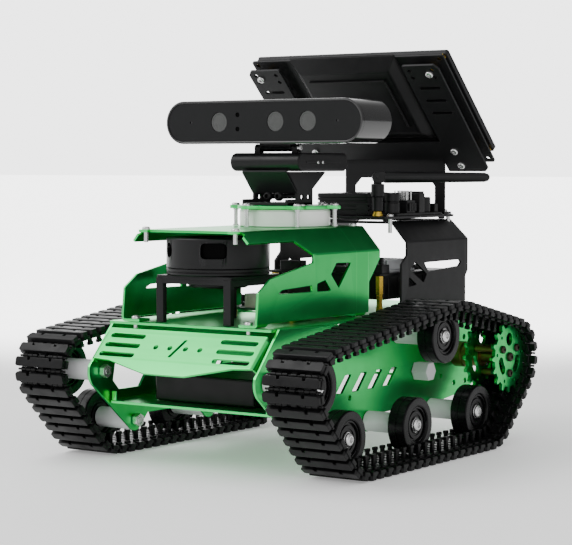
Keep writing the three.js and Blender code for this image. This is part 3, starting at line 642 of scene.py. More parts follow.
def add_axle(role, side, sign, c):
    """Turned spacer from the side plate to the wheel, with the screw and nut at its ends."""
    outward = at(0, c.y, c.z) @ mirrored_if(sign) @ ALONG_X
    hull, inner, outer = HULL_HALF + GAP, 97.0, 105.2      # the wheel turns between the last two
    inside = HULL_INNER - 4.5
    spacer = [(hull, 2.2), (hull, 6.5), (hull + 0.5, 7), (inner - 0.5, 7), (inner, 6.5),
              (inner, 2.2), (hull, 2.2)]
    piece(f"{role}_spacer_{side}", moved(lathe(spacer, 40), outward), "aluminium",
          stands_for=f"{role}_axle_{side}")
    washer = rod(5.3, outer, outer + 1.4, sides=32)
    head = moved(button_head(4.5, 2.4), at(0, 0, outer + 1.4))
    shank = rod(2.2, inside, outer + 1.6)
    nut = hex_nut(8, inside, inside + 3.9)
    piece(f"{role}_screw_{side}", moved(joined(washer, head, shank, nut), outward), "steel")


# ------------------------------------------------------------------ sprockets
SPROCKET_TEETH = 16
SPROCKET_FLANK = 23.6                  # radius half-way up a tooth
SPROCKET_TIP = 25.3
SPROCKET_X = 102.0
DISC_OFFSET = 10.9                     # each disc's middle, from the sprocket's middle
DISC_HALF = 1.3
BOLT_CIRCLE = 11.8
BOLT_ANGLES = (0, 120, 240)


def sprocket_outline():
    points = []
    for i in range(SPROCKET_TEETH):
        a = 360 / SPROCKET_TEETH * i
        points += arc(0, 0, SPROCKET_ROOT, a + 6.0, a + 16.5, 3)
        points.append(polar(SPROCKET_FLANK, a + 18.6))
        points += arc(0, 0, SPROCKET_TIP, a + 20.4, a + 24.6, 2)
        points.append(polar(SPROCKET_FLANK, a + 26.4))
    return points


def kidney(radius, width, middle, spread):
    """A slot that follows a circle about the sprocket's centre."""
    half = width / 2
    a0, a1 = middle - spread, middle + spread
    ends = [polar(radius, a) for a in (a0, a1)]
    return (arc(0, 0, radius + half, a0, a1, 8)[1:-1] + arc(*ends[1], half, a1, a1 + 180, 8)
            + arc(0, 0, radius - half, a1, a0, 8)[1:-1] + arc(*ends[0], half, a0 + 180, a0 + 360, 8))


def add_sprocket(side, sign):
    body = f"sprocket_{side}"
    c = centre(f"sprocket_outer_{side}")
    place = at(sign * SPROCKET_X, c.y, c.z) @ mirrored_if(sign) @ ALONG_X
    # In this local frame x is down and y is along the vehicle, so angles start from below.
    windows = [circle(-12.8, 0, 4.6, 24), kidney(12.6, 6.6, -62, 15), kidney(12.6, 6.6, 62, 15)]
    bolts = [polar(BOLT_CIRCLE, a) for a in BOLT_ANGLES]
    small = [circle(x, y, 1.7, 14) for x, y in bolts]
    rim = [circle(*polar(18.3, a), 1.1, 12) for a in (22, 98, 142, 218, 262, 338)]
    for name, offset in (("outer", DISC_OFFSET), ("inner", -DISC_OFFSET)):
        disc = plate(sprocket_outline(), windows + small + rim, offset - DISC_HALF,
                     offset + DISC_HALF, 0.3)
        piece(f"sprocket_{name}_disc_{side}", moved(disc, place), "green", body=body,
              stands_for=f"sprocket_{name}_{side}")
    spacers = repeated(rod(2.6, -9.5, 9.5, 0.4, 18), bolts)
    hub = lathe([(-37.2, 0), (-37.2, 3), (-31.5, 3), (-31.5, 9), (-30.7, 9.3), (-24, 9.3),
                 (-23.2, 8.2), (-12.9, 8.2), (-12.3, 7.8), (-9.4, 7.8), (-9.4, 5), (4.2, 5),
                 (4.8, 4.4), (4.8, 0)], 36)
    # The hub and its spacers take the brass with painted shade
    piece(f"sprocket_hub_{side}", moved(joined(hub, *spacers), place), "painted_shade_brass", body=body)
    face = DISC_OFFSET + DISC_HALF
    heads = [moved(button_head(2.9, 1.9), at(x, y, face)) for x, y in bolts]
    heads.append(moved(button_head(3.4, 2.2), at(0, 0, face)))
    heads.append(rod(1.6, 4.0, 12.3, sides=16))
    piece(f"sprocket_screws_{side}", moved(joined(*heads), place), "dark_screw", body=body)


def add_motor(side, sign):
    c = centre(f"motor_{side}")
    place = at(0, c.y, c.z) @ mirrored_if(sign) @ ALONG_X
    can = lathe([(6, 0), (6, 14.6), (6.8, 15.4), (36, 15.4), (36, 16.4), (40.5, 16.4),
                 (40.8, 17.6), (41.4, 18), (65.6, 18), (66.1, 17.5), (66.1, 3.7), (62.5, 3.7),
                 (62.5, 0)], 48)
    piece(f"motor_body_{side}", moved(can, place), "motor", stands_for=f"motor_{side}")


# ------------------------------------------------------------------ hull
BUMPER_PLANE = 203.7                   # z - y on the bumper's outer face, which slopes at 45 degrees
DECK_TOP = 95.2
BOTTOM_TOP = 41.4
HULL_HALF = 68.5
HULL_INNER = 66.5


def side_plate_outline():
    slope = BUMPER_PLANE - SHEET * math.sqrt(2) - 0.5
    points = [(DECK_TOP - slope, DECK_TOP)] + arc(-119.5, 62, 13, 160, 222, 14)
    for i, y in enumerate((-84.5, 0, 84.5)):
        if i:
            points += [(y - 15, 29)]
        points += arc(y, 25.3, 7.5, 222, 318, 14) + [(y + 14, 29)]
    tail = [(124, 29), (150, 38.5), (146.5, 50), (146.5, 72), (153.4, 77), (153.4, 82.5),
            (130, 83), (118, DECK_TOP)]
    return points + softened(tail, 2, 2)


def add_side_plate(side, sign):
    louvres = [softened([(y, 47), (y + 8.2, 47), (y + 19.6, 59), (y + 12.2, 59)], 0.7, 2)
               for y in (-59.9 + 19.8 * i for i in range(5))]
    nose = softened([(-108, 54.5), (-101.5, 48), (-79.5, 48), (-72, 57.5), (-72, 67.5),
                     (-105.3, 67.5)], 1.5)
    spots = [(-22.8, 43.2, 1.8), (119.3, 40.5, 2.0), (136, 40.5, 2.0), (134.2, 73, 2.0),
             (100, 47, 1.6), (104, 78, 1.6), (119, 61.8, 7), (66, 53, 2.2)]
    holes = [circle(y, z, r, 28) for y, z, r in spots]
    bm = plate(side_plate_outline(), louvres + [nose] + holes, HULL_INNER, HULL_HALF, 0.25)
    place = mirrored_if(sign) @ FACING_X
    piece(f"side_sheet_{side}", moved(bm, place), "green", stands_for=f"side_plate_{side}")
    spacer = plate(circle(0, 0, 7, 6), (), HULL_HALF + GAP, 81, 0.4)
    turn = mirrored_if(sign) @ at(0, 64.4, 54) @ FACING_X
    piece(f"hex_standoff_{side}", moved(spacer, turn), "aluminium", stands_for=f"hex_spacer_{side}")


def add_hull_plates():
    half = HULL_INNER - GAP
    vents = [stadium(0, y, 60, 5) for y in (-60, -40, -20)]
    vents.append(softened(rectangle(-48, 48, 6, 140), 4, 5))
    base = flat(-half, half, -112, 148, 1.5, BOTTOM_TOP - SHEET, BOTTOM_TOP, 0.25, vents)
    tabs = both_sides(block(half - 4.8, half - 1, -111, -109.2, 40.8, 47.6, 0.3))
    piece("bottom_sheet", joined(base, *tabs), "green", stands_for="bottom_plate")
    slots = [stadium(x, 5, 24, 10) for x in (-30, 30)]
    deck = flat(-half, half, -112, 162, 1, DECK_TOP - SHEET, DECK_TOP, 0.3, slots)
    piece("deck_sheet", deck, "green", stands_for="deck_plate")
    low, high = BOTTOM_TOP + GAP, DECK_TOP - SHEET - GAP
    portal = [(-half, low), (-50, low), (-50, 58), (50, 58), (50, low), (half, low),
              (half, high), (-half, high)]
    vents = [stadium(k * 38, z, 26, 4) for k in (-1, 0, 1) for z in (67, 75)]
    panel = plate(portal, vents, 0, SHEET, 0.25)
    piece("rear_sheet", moved(panel, at(0, 143 + SHEET, 0) @ ALONG_Y), "green",
          stands_for="rear_panel")


def add_bumper():
    width = HULL_INNER - 1
    lip = width + 6
    down = 27.6
    outline = [(-lip, -3), (-width + 1, -3), (-width + 1, 0), (width - 1, 0), (width - 1, -3),
               (lip, -3), (lip, -down + 2), (width, -down + 1), (50, -down), (16, -down - 9),
               (-16, -down - 9), (-50, -down), (-width, -down + 1), (-lip, -down + 2)]
    holes = [stadium(side * (45.5 + row * 0.5), -6.5 - row * 8, 29, 3.8)
             for row in range(3) for side in (-1, 1)]
    holes += [circle(x, -14.5, 1.8, 20) for x in (-18, -6.4, 6.4, 18)]
    holes.append(softened([(-4.4, -22), (-2.2, -22), (4.4, -7), (2.2, -7)], 0.6, 2))
    bm = folded(plate(outline, holes, -SHEET, 0, 0.25), [(width, math.radians(84))], 2.4)
    upper = 91                         # height of its upper edge
    turn = at(0, upper - BUMPER_PLANE, upper) @ Matrix.Rotation(math.radians(45), 4, "X")
    piece("bumper_sheet", moved(bm, turn), "green", stands_for="front_bumper")


def add_battery():
    low, high = corners("battery_pack")
    body = block(low.x, high.x, low.y, high.y, low.z, high.z, 1.6, 4)
    bands = [block(low.x - 0.15, high.x + 0.15, y, y + 14, low.z - 0.15, high.z + 0.15, 1.7, 3)
             for y in (-70, -10)]
    piece("battery_cells", joined(body, *bands), "film", stands_for="battery_pack")


# ------------------------------------------------------------------ covers over the deck
COVER_HALF = 55.5
COVER_TOP_HALF = 41.0
FRONT_ROOF = 157
REAR_ROOF = 159
FRONT_BEND_Z = 140.5
REAR_BEND_Z = 144.7


class CoverPattern:
    """Flat pattern of a cover: distance from the middle of its roof, against y."""

    def __init__(self, top, bend):
        self.top = top
        self.bend = bend
        drop = top - bend
        run = COVER_HALF - COVER_TOP_HALF
        self.slant = math.hypot(run, drop)
        self.drop = drop
        lean = math.atan2(drop, run)
        self.foot = COVER_TOP_HALF + self.slant + bend - DECK_TOP - GAP
        self.folds = [(COVER_TOP_HALF, lean), (COVER_TOP_HALF + self.slant, math.pi / 2 - lean),
                      (self.foot, math.pi / 2)]

    def at(self, z):
        """Pattern distance of a point at height z on the outside."""
        if z >= self.bend:
            return COVER_TOP_HALF + (self.top - z) / self.drop * self.slant
        return COVER_TOP_HALF + self.slant + self.bend - z

    def wall(self, view):
        """A hole given in side view as (y, z), as one hole in each wall."""
        right = [(self.at(z), y) for y, z in view]
        return [right, [(-s, y) for s, y in right]]

    def cover(self, edge, views, holes=()):
        """The folded cover, from the outline of its +x half and the windows of its walls."""
        windows = [hole for view in views for hole in self.wall(softened(view, 0.8, 2))]
        flat_cover = plate(softened(both_halves(edge), 0.9, 2), windows + list(holes), -SHEET, 0, 0.3)
        return moved(folded(flat_cover, self.folds), at(0, 0, self.top))


def both_halves(edge):
    """Closes an outline whose +x half is given from front to rear."""
    return edge + [(-s, y) for s, y in reversed(edge)]


def add_front_cover():
    pattern = CoverPattern(FRONT_ROOF, FRONT_BEND_Z)
    low = pattern.foot
    edge = [(32.5, -110), (32.5, -113), (40, -113), (41.5, -110.5), (43.5, -106.5),
            (45, -110.3), (pattern.at(149.5), -110), (pattern.at(149.5), -58),
            (pattern.at(140.5), -47), (pattern.at(135), -47), (pattern.at(126.4), -97),
            (pattern.at(118), -110.3), (low - 3, -112.4), (low - 3, -112), (low + 15, -112),
            (low + 15, -100), (low - 2, -100), (low - 2, 6), (low + 15, 6), (low + 15, 18),
            (low - 2, 18), (low - 2, 22), (pattern.at(118.8), 22.5), (pattern.at(135), 37)]
    views = [
        [(-89, 116.2), (-83.5, 118.6), (-49, 119.8), (-48, 115.6)],
        [(-42.7, 120.6), (-33, 122.6), (-25.8, 115.2), (-42.7, 115.4)],
        [(-19.3, 133.5), (-0.9, 133.1), (-16.3, 116.5), (-25.8, 126.1)],
    ]
    piece("front_cover_sheet", pattern.cover(edge, views), "green", stands_for="front_cover")
    screws = [screw_up(x, y, FRONT_ROOF, 2.7, 1.9, stub) for x in (-36.5, 36.5)
              for y, stub in ((-109.3, 8.5), (31, 5))]
    flange_top = DECK_TOP + 0.4 + SHEET
    screws += [screw_up(x, y, flange_top, 2.9, 2.0, 7)
               for x, y in grid((-46.3, 46.3), (-108.5, 12))]
    piece("front_cover_screws", joined(*screws), "steel")


def add_rear_cover():
    pattern = CoverPattern(REAR_ROOF, REAR_BEND_Z)
    low = pattern.foot
    edge = [(COVER_TOP_HALF, 77), (pattern.at(REAR_BEND_Z), 73.8), (pattern.at(135.2), 73.8),
            (pattern.at(128.9), 66.3), (low - 2, 66), (low - 2, 80), (low + 15, 80),
            (low + 15, 92), (low - 2, 92), (low - 2, 146), (low + 15, 146), (low + 15, 158),
            (low - 2, 158), (low - 2, 159.5), (pattern.at(116.5), 159.5),
            (pattern.at(120.7), 163), (pattern.at(REAR_BEND_Z), 163), (COVER_TOP_HALF, 162)]
    views = [
        [(98.2, 128.9), (150.2, 129.1), (152.6, 127.2), (149, 124.4), (104, 122.5)],
        [(85.7, 130), (101.7, 120.6), (97.2, 114.5), (77.9, 124.6)],
        [(76.5, 119.5), (88, 113.5), (76.5, 112.5)],
    ]
    opening = softened(rectangle(-30, 30, 83, 156), 3)
    piece("rear_cover_sheet", pattern.cover(edge, views, [opening]), "black_metal",
          stands_for="rear_cover")


def add_rear_deck():
    top = 162.8
    holes = [circle(x, y, 2.2, 20) for x, y in grid((-30, 0), (68, 155))]
    deck = flat(-46, 46, 63, 160, 4, top - SHEET, top, 0.3, holes, 5)
    posts = repeated(rod(2.4, REAR_ROOF + GAP, top - 1.6), grid((-38, 38), (73, 153)))
    piece("rear_deck_sheet", joined(deck, *posts), "black_metal", stands_for="rear_deck")
    screws = [screw_up(x, y, top, 2.6, 1.8, 12) for x, y in grid((-41.5, 41.5), (73, 157))]
    piece("rear_deck_screws", joined(*screws), "steel")


# ------------------------------------------------------------------ lidar
def add_lidar():
    c = centre("lidar_head")
    low, high = corners("lidar_head")
    r = (high.x - low.x) / 2
    wall = lathe([(low.z, r - 3), (low.z, r - 0.3), (low.z + 0.3, r), (high.z - 0.8, r),
                  (high.z - 0.2, r - 0.5), (high.z, r - 1.2), (high.z, 9), (high.z - 0.6, 8.6),
                  (high.z - 0.6, 0), (high.z - 2.4, 0), (high.z - 2.4, r - 3), (low.z, r - 3)],
                 128)
    head = piece("lidar_turret_shell", moved(wall, at(0, c.y, 0)), "plastic", body="lidar_turret",
                 stands_for="lidar_head")
    window = 143.7                     # height of the windows' middles
    wide = flat(-8.7, 8.7, -5.2, 5.2, 3.6, -6, 6, 0.05, steps=6)
    eye = plate(circle(0, 0, 5), (), -6, 6, 0.05)
    cutters = []
    for name, shape, angle in (("wide", wide, 31.3), ("eye", eye, -34)):
        turn = (at(0, c.y, window) @ Matrix.Rotation(math.radians(angle), 4, "Z")
                @ at(0, -r, 0) @ ALONG_Y)
        shape.transform(PLACE @ turn)
        cutters.append(linked(name, mesh_from(name, shape)))
    cut_now(head, cutters)
    inside = lathe([(low.z + 0.2, 0), (low.z + 0.2, r - 3.4), (high.z - 2.6, r - 3.4),
                    (high.z - 2.6, 0)], 64)
    # The turret's inside is filled with near-black: dark optics, plus painted shade seen through the
    # windows
    piece("lidar_optics", moved(inside, at(0, c.y, 0)), "dark_optics_and_hollow_shade", body="lidar_turret")
    base = lathe([(118.5, 0), (118.5, 19), (119.5, 20), (127.3, 20), (127.3, r - 0.6),
                  (127.8, r), (129.0, r), (129.2, r - 0.9), (129.7, r - 0.9), (129.9, r),
                  (131.2, r), (131.6, r - 0.4), (131.6, 0)], 128)
    piece("lidar_foot", moved(base, at(0, c.y, 0)), "plastic", stands_for="lidar_base")


def cut_now(obj, cutters):
    """Cuts the shapes out of the object and removes them."""
    for cutter in cutters:
        cut = obj.modifiers.new("cut", "BOOLEAN")
        cut.operation = "DIFFERENCE"
        cut.object = cutter
        cut.solver = "EXACT"
        obj.modifiers.move(len(obj.modifiers) - 1, 0)
    view = bpy.context.evaluated_depsgraph_get()
    mesh = bpy.data.meshes.new_from_object(obj.evaluated_get(view))
    obj.modifiers.clear()
    obj.data = mesh
    mesh.set_sharp_from_angle(angle=SHARP)
    for cutter in cutters:
        bpy.data.objects.remove(cutter)


def add_lidar_bracket():
    y = centre("lidar_bracket").y
    top = flat(-30.6, 30.6, y - 28, y + 28, 2, 124.6, 127, 0.3, [circle(0, y, 20.8, 48)])
    parts = [top]
    for x, forward in ((-27.6, -26), (27.6, -26), (-8, 26)):
        parts.append(block(x - 3, x + 3, y + forward - 2, y + forward + 2, 95.6, 125.5, 0.4))
    for sx in (-1, 1):
        parts.append(block(sx * 28.9 - 1.5, sx * 28.9 + 1.5, y - 27, y + 27, 120.5, 125.5, 0.4))
        parts.append(block(-29, 29, y + sx * 26.6 - 1.2, y + sx * 26.6 + 1.2, 121.5, 125.5, 0.4))
    piece("lidar_bracket_frame", joined(*parts), "plastic", stands_for="lidar_bracket")


# ------------------------------------------------------------------ boards and modules
def components(spots):
    return [block(*spot, 0.25, 1) for spot in spots]


def add_front_board():
    board = flat(-20, 38, -46, 22, 2, 101, 102.6, 0.15)
    posts = repeated(rod(2.5, DECK_TOP + GAP, 101.2, sides=6), grid((-15, 34), (-40, 17)))
    piece("front_board_sheet", board, "circuit", stands_for="front_board")
    piece("front_board_posts", joined(*posts), "brass")
    chips = components([(0, 22, -15, 5, 102.5, 106), (-16, -6, -30, -18, 102.5, 105),
                        (26, 34, -20, -8, 102.5, 107), (-12, 10, 10, 18, 102.5, 108),
                        (12, 24, -28, -20, 102.5, 104.5)])
    piece("front_board_chips", joined(*chips), "plastic")
    sockets = components([(-4, 10, -43, -33, 102.5, 112), (28, 36, 4, 14, 102.5, 110)])
    sockets += [block(-4 + 3.5 * k + 0.5, -4 + 3.5 * k + 3, -43.6, -42.8, 104, 110, 0.2, 1)
                for k in range(4)]
    piece("front_board_sockets", joined(*sockets), "cream")
    can = lathe([(102.5, 0), (102.5, 4.6), (103.4, 5), (111.6, 5), (112.6, 4.6),
                 (112.9, 3.6), (112.4, 3.4), (112.4, 0)], 32)
    cans = repeated(can, ((30, -38), (18, -38)))
    piece("front_board_cans", joined(*cans), "silver")


def add_driver_board():
    board = flat(-50, 50, 48, 144, 3, 121, 122.6, 0.15)
    module = block(-42, 42, 64, 140, 103, 120.8, 1.2, 3)
    ribs = [block(-42.4, 42.4, y, y + 2, 105, 119, 0.4, 1) for y in (70, 82, 94, 106, 118, 130)]
    piece("driver_board_sheet", board, "dark_circuit", stands_for="driver_board")
    piece("driver_module", joined(module, *ribs), "plastic")
    post = lathe([(95.5, 0), (95.5, 2.9), (98.5, 2.9), (98.7, 2.4), (108, 2.4),
                  (108.2, 2.9), (121, 2.9), (121, 0)], 6)
    posts = repeated(post, grid((-45, 45), (53, 138)))
    piece("driver_board_posts", joined(*posts), "brass")
    fins = [block(8.5 + i * 3.1, 9.9 + i * 3.1, 66, 100, 123, 131.6, 0.2, 1) for i in range(12)]
    sink = joined(block(8, 46, 66, 100, 122.6, 124.6, 0.3), *fins)
    piece("driver_heat_sink", sink, "heat_sink")
    socket = joined(block(38, 49, 50, 60, 122.6, 129, 0.5), block(39, 42, 52, 55, 129, 135, 0.4),
                    block(44.5, 47.5, 52, 55, 129, 134, 0.4),
                    *components([(-40, -22, 52, 60, 122.6, 130), (-14, 2, 51, 61, 122.6, 128),
                                 (8, 30, 52, 60, 122.6, 127), (-36, -10, 76, 98, 122.6, 125),
                                 (-36, -18, 110, 134, 122.6, 128), (6, 34, 112, 134, 122.6, 126)]))
    piece("driver_sockets", socket, "plastic")


def add_computer():
    low, high = corners("computer_case")
    outline = softened(rectangle(low.x, high.x, low.y, high.y), 6, 8)
    layers = [plate(outline, (), low.z, 166.2, 0.3)]
    inset = softened(rectangle(low.x + 1.1, high.x - 1.1, low.y + 1.1, high.y - 1.1), 5, 8)
    for z in (167, 170.2, 173.4):
        layers.append(plate(inset, (), z - 1.0, z + 0.4, 0.05))
        layers.append(plate(outline, (), z + 0.3, z + 2.3, 0.3))
    layers.append(plate(outline, (), 175.6, high.z, 0.9))
    solid = [block(high.x - 12, high.x - 0.02, low.y + 10, high.y - 10, 164, 178, 0.2),
             block(low.x + 0.02, low.x + 12, low.y + 10, high.y - 10, 164, 178, 0.2)]
    port = block(12, 22, low.y - 0.01, low.y + 6, 165, 171, 0.3)
    rim = moved(lathe([(0, 0), (0, 17), (0.6, 16.4), (0.6, 12.5), (0.2, 12), (0.2, 0)], 40),
                at(0.5, 105, high.z - 0.1))
    piece("computer_shell", joined(*layers, *solid, port, rim), "plastic",
          stands_for="computer_case")


def add_connector_board():
    z = corners("connector_board")[0].z
    board = flat(27, 44.5, 78, 143, 1.5, z, z + 1.6, 0.15)
    piece("connector_board_sheet", board, "dark_circuit", stands_for="connector_board")
    drum = lathe([(z + 1.5, 0), (z + 1.5, 5.6), (z + 2, 6), (172, 6), (172.4, 5.4), (173.4, 5.4),
                  (173.8, 6), (179, 6), (179.5, 5.5), (179.5, 3.8), (178.3, 3.5), (178.3, 0)], 36)
    parts = [moved(drum, at(36, 84, 0)), moved(rod(6, z + 1.5, 176, 0.6, 32), at(36, 128, 0)),
             block(29, 43, 94, 106, z + 1.5, 174, 0.5),
             block(28, 44, 110, 118, z + 1.5, 179, 0.5),
             block(30, 42, 136, 141, z + 1.5, 171, 0.4)]
    parts += [block(43.2, 44.6, 95.5 + 2.6 * k, 97.1 + 2.6 * k, 166, 172, 0.2, 1)
              for k in range(4)]
    parts += [block(29 + 2.6 * k, 30.6 + 2.6 * k, 111, 117, 178.6, 180.4, 0.15, 1)
              for k in range(6)]
    piece("connector_sockets", joined(*parts), "plastic")
    pins = repeated(rod(0.5, 174, 181, 0.1, 8), grid([31 + 2.5 * k for k in range(5)], (97, 103)))
    piece("connector_pins", joined(*pins), "steel")


# ------------------------------------------------------------------ drum and its cap
CAP_LOW = 169.3
CAP_TOP = 171.7
POST_CIRCLE = 36


def add_drum():
    low, high = corners("speaker_drum")
    r = (high.x - low.x) / 2
    body = lathe([(low.z, 0), (low.z, r - 0.4), (low.z + 0.4, r), (high.z - 1.2, r),
                  (high.z - 0.8, r - 0.5), (high.z - 0.4, r - 0.5), (high.z, r - 0.8),
                  (high.z, 0)], 128)
    piece("drum_shell", body, "silver", stands_for="speaker_drum")
    outline = []
    for i in range(6):
        a = 60 * i + 18
        outline += arc(*polar(POST_CIRCLE, a), 4.2, a - 80, a + 80, 8)
        outline += arc(0, 0, 33.2, a + 12, a + 48, 8)
    fixings = grid((-24, 24), (-14, 14))
    cap = plate(outline, [circle(x, y, 1.6, 16) for x, y in fixings], CAP_LOW, CAP_TOP, 0.35)
    piece("drum_cap_sheet", cap, "green", stands_for="drum_cap")
    corners_of_cap = [polar(POST_CIRCLE, 60 * i + 18) for i in range(6)]
    low = FRONT_ROOF + GAP
    post = lathe([(low, 0), (low, 2.0), (low + 1, 2.0), (low + 1.1, 1.4), (CAP_LOW - 1, 1.4),
                  (CAP_LOW - 0.9, 2.0), (CAP_LOW, 2.0), (CAP_LOW, 0)], 20)
    piece("drum_posts", joined(*repeated(post, corners_of_cap)), "steel")
    screws = [screw_up(x, y, CAP_TOP, 2.9, 1.6) for x, y in corners_of_cap]
    screws += [screw_up(x, y, CAP_TOP, 2.4, 1.2) for x, y in fixings]
    piece("drum_cap_screws", joined(*screws), "steel")


# ------------------------------------------------------------------ depth camera
HINGE_Y = -9.0
HINGE_Z = 211.5
HINGE_RADIUS = 2.6


def add_camera_bracket():
    half, z0 = 18.8, CAP_TOP + GAP
    base = flat(-half, half, -25, 7, 1.5, z0, z0 + SHEET, 0.25)
    view = [(-25, z0), (7, z0), (7, 183), (24, 195), (-26, 195), (-12.5, 180.3), (-12.5, 176),
            (-25, 176)]
    holes = [circle(-6, 177.5, 1.8, 20), circle(2, 177.5, 1.8, 20)]
    cheek = moved(plate(softened(view, 0.8, 2), holes, half - SHEET, half, 0.25), FACING_X)
    slope = math.hypot(13.3, 15)
    flange = flat(-half, half, 0, slope, 1.2, -SHEET, 0, 0.25)
    lean = Matrix.Rotation(math.radians(90) + math.atan2(13.3, 15), 4, "X")
    flange = moved(flange, at(0, -12.7, 180) @ lean)
    piece("camera_bracket_sheet", joined(base, *both_sides(cheek), flange), "black_metal",
          stands_for="camera_bracket")
    bolts = [moved(button_head(3.4, 3.0), at(x, -11, 178) @ ALONG_Y) for x in (-6, 3)]
    bolts += [moved(rod(2.0, -12, 12), at(x, 0, 178) @ ALONG_Y)
              for x in (-6, 3)]
    piece("camera_bracket_bolts", joined(*bolts), "plastic")


def add_camera_foot():
    z0, top = 195.3, 208.0
    r = (top - z0) / 2
    view = [(33, z0), (35.5, z0 + 2), (36, z0 + 4), (36, top - 4), (35.5, top - 2), (33, top)]
    view += arc(-19.5, (z0 + top) / 2, r, 90, 270, 24)
    block_mesh = moved(plate(view, (), -28.7, 28.7, 1.2), FACING_X)
    ear = arc(HINGE_Y, HINGE_Z, HINGE_RADIUS, 0, 180, 14) + [(-11.6, 207), (-6.4, 207)]
    ears = both_sides(moved(plate(ear, (), 13.3, 18, 0.4), FACING_X))
    grooves = both_sides(block(28.3, 29.0, -16, 28, 200.6, 202.4, 0.2, 1))
    piece("camera_foot_shell", joined(block_mesh, *ears, *grooves), "plastic",
          stands_for="camera_foot")
    heads = [moved(button_head(2.6, 1.8), at(18, HINGE_Y, HINGE_Z - 0.2) @ ALONG_X),
             moved(button_head(1.2, 0.6), at(28.9, -2, 201.5) @ ALONG_X),
             moved(button_head(1.2, 0.6), at(28.9, 4, 201.5) @ ALONG_X)]
    piece("camera_foot_screws", joined(*heads), "steel")


def add_depth_camera():
    low, high = corners("camera_body")
    z = 229.3                          # height of the lenses' middles
    half, r = high.x, high.z - z
    front, back = low.y, high.y

    def capsule(inset):
        return stadium(0, z, 2 * (half - inset), 2 * (r - inset), 24)

    # Plates drawn in x and z, thickness towards -y.
    def upright(outline, holes, y_front, y_back, edge):
        return moved(plate(outline, holes, -y_back, -y_front, edge), ALONG_Y)

    shell = upright(capsule(0), [capsule(1.5)], front, front + 3, 0.35)
    body = upright(capsule(0), (), front + 1.2, back, 1.0)
    neck = arc(HINGE_Y, HINGE_Z, HINGE_RADIUS, 180, 360, 14) + [(-5, 215.5), (-13, 215.5)]
    knuckle = moved(plate(neck, (), -13, 13, 0.4), FACING_X)
    piece("camera_bar_shell", joined(shell, body, knuckle), "camera", body="camera",
          stands_for="camera_body")
    lenses = (-36.1, 11.4, 37.9)
    spots = [circle(x, z, 6.9, 40) for x in lenses]
    spots += [circle(-20.3, z + d, 1.7, 20) for d in (-4.9, 4.9)]
    spots += [circle(x, z, 0.9, 14) for x in (-60.5, 61.9)]
    face = upright(capsule(1.7), spots, front + 0.5, front + 1.5, 0.12)
    piece("camera_face_panel", face, "camera_face", body="camera")
    bed = front + 1.15
    discs = [moved(lathe([(0, 0), (0, 6.7), (0.35, 6.5), (0.35, 5.6), (0.15, 5.4), (0.3, 3.0),
                          (0.42, 0)], 48), at(x, bed, z) @ ALONG_Y) for x in lenses]
    piece("camera_lenses", joined(*discs), "lens", body="camera")
    pits = [moved(lathe([(0, 0), (0, 1.65), (0.1, 1.65), (0.25, 1.0), (0.25, 0)], 20),
                  at(-20.3, bed, z + d) @ ALONG_Y) for d in (-4.9, 4.9)]
    # The floors of the sensor holes are near-black: dark sensors, plus painted shade of the small
    # hollows
    piece("camera_sensors", joined(*pits), "dark_optics_and_hollow_shade", body="camera")


# ------------------------------------------------------------------ screen
SCREEN_LEAN = math.radians(43.5)


def screen_frame():
    """x across, y down the slope from the display's upper edge, z out of its face."""
    low, high = corners("screen_display")
    thickness = 4
    top = (0, low.y + math.sin(SCREEN_LEAN) * thickness, high.z)
    return at(*top) @ Matrix.Rotation(-SCREEN_LEAN, 4, "X")


def add_screen():
    tilt = screen_frame()
    glass = flat(-82.5, 82.5, 0, 100, 2, -1.1, 0, 0.3, steps=4)
    piece("screen_glass_pane", moved(glass, tilt), "glass", stands_for="screen_display")
    tray = flat(-82.3, 82.3, 0.2, 99.8, 2, -4, -1.0, 0.3, steps=4)
    board = flat(-82.5, 82.5, -3, 106, 2, -9.2, -7.6, 0.3,
                 [circle(x, y, 1.6, 16) for x, y in grid((-78, 78), (1, 102))], 4)
    middle = block(-76, 76, 6, 96, -7.8, -3.8, 0.5)
    piece("screen_tray", moved(joined(tray, board, middle), tilt), "black_metal",
          stands_for="screen_board")
    # Tapered housing of the display's driver.
    wide, tall = (-46, 44), (-6, 78)
    slim, short = (-40, 38), (4, 68)
    bm = bmesh.new()
    rings = []
    for (x0, x1), (y0, y1), z in ((wide, tall, -9.0), (wide, tall, -10.4), (slim, short, -16),
                                  ((-38.6, 36.6), (5.4, 66.6), -16.6)):
        rings.append([bm.verts.new(p) for p in ((x0, y0, z), (x1, y0, z), (x1, y1, z),
                                               (x0, y1, z))])
    bridged(bm, rings, 4)
    bm.faces.new(rings[0])
    bm.faces.new(rings[-1])
    bmesh.ops.recalc_face_normals(bm, faces=bm.faces)
    bmesh.ops.bevel(bm, geom=bm.edges[:], offset=0.5, segments=2, affect="EDGES")
    lip = [block(-34, 32, 12, 13.4, -18, -16, 0.3, 1),
           block(30.6, 32, 12, 60, -18, -16, 0.3, 1)]
    piece("screen_driver_housing", moved(joined(bm, *lip), tilt), "plastic")
    posts = repeated(lathe([(-14, 0), (-14, 2.8), (-9.2, 2.8), (-9.2, 0)], 6),
                     grid((-70, 70), (8, 92)))
    posts += repeated(rod(3, -7.7, -3.9, sides=6), grid((-78, 78), (3, 97)))
    piece("screen_spacers", moved(joined(*posts), tilt), "brass")


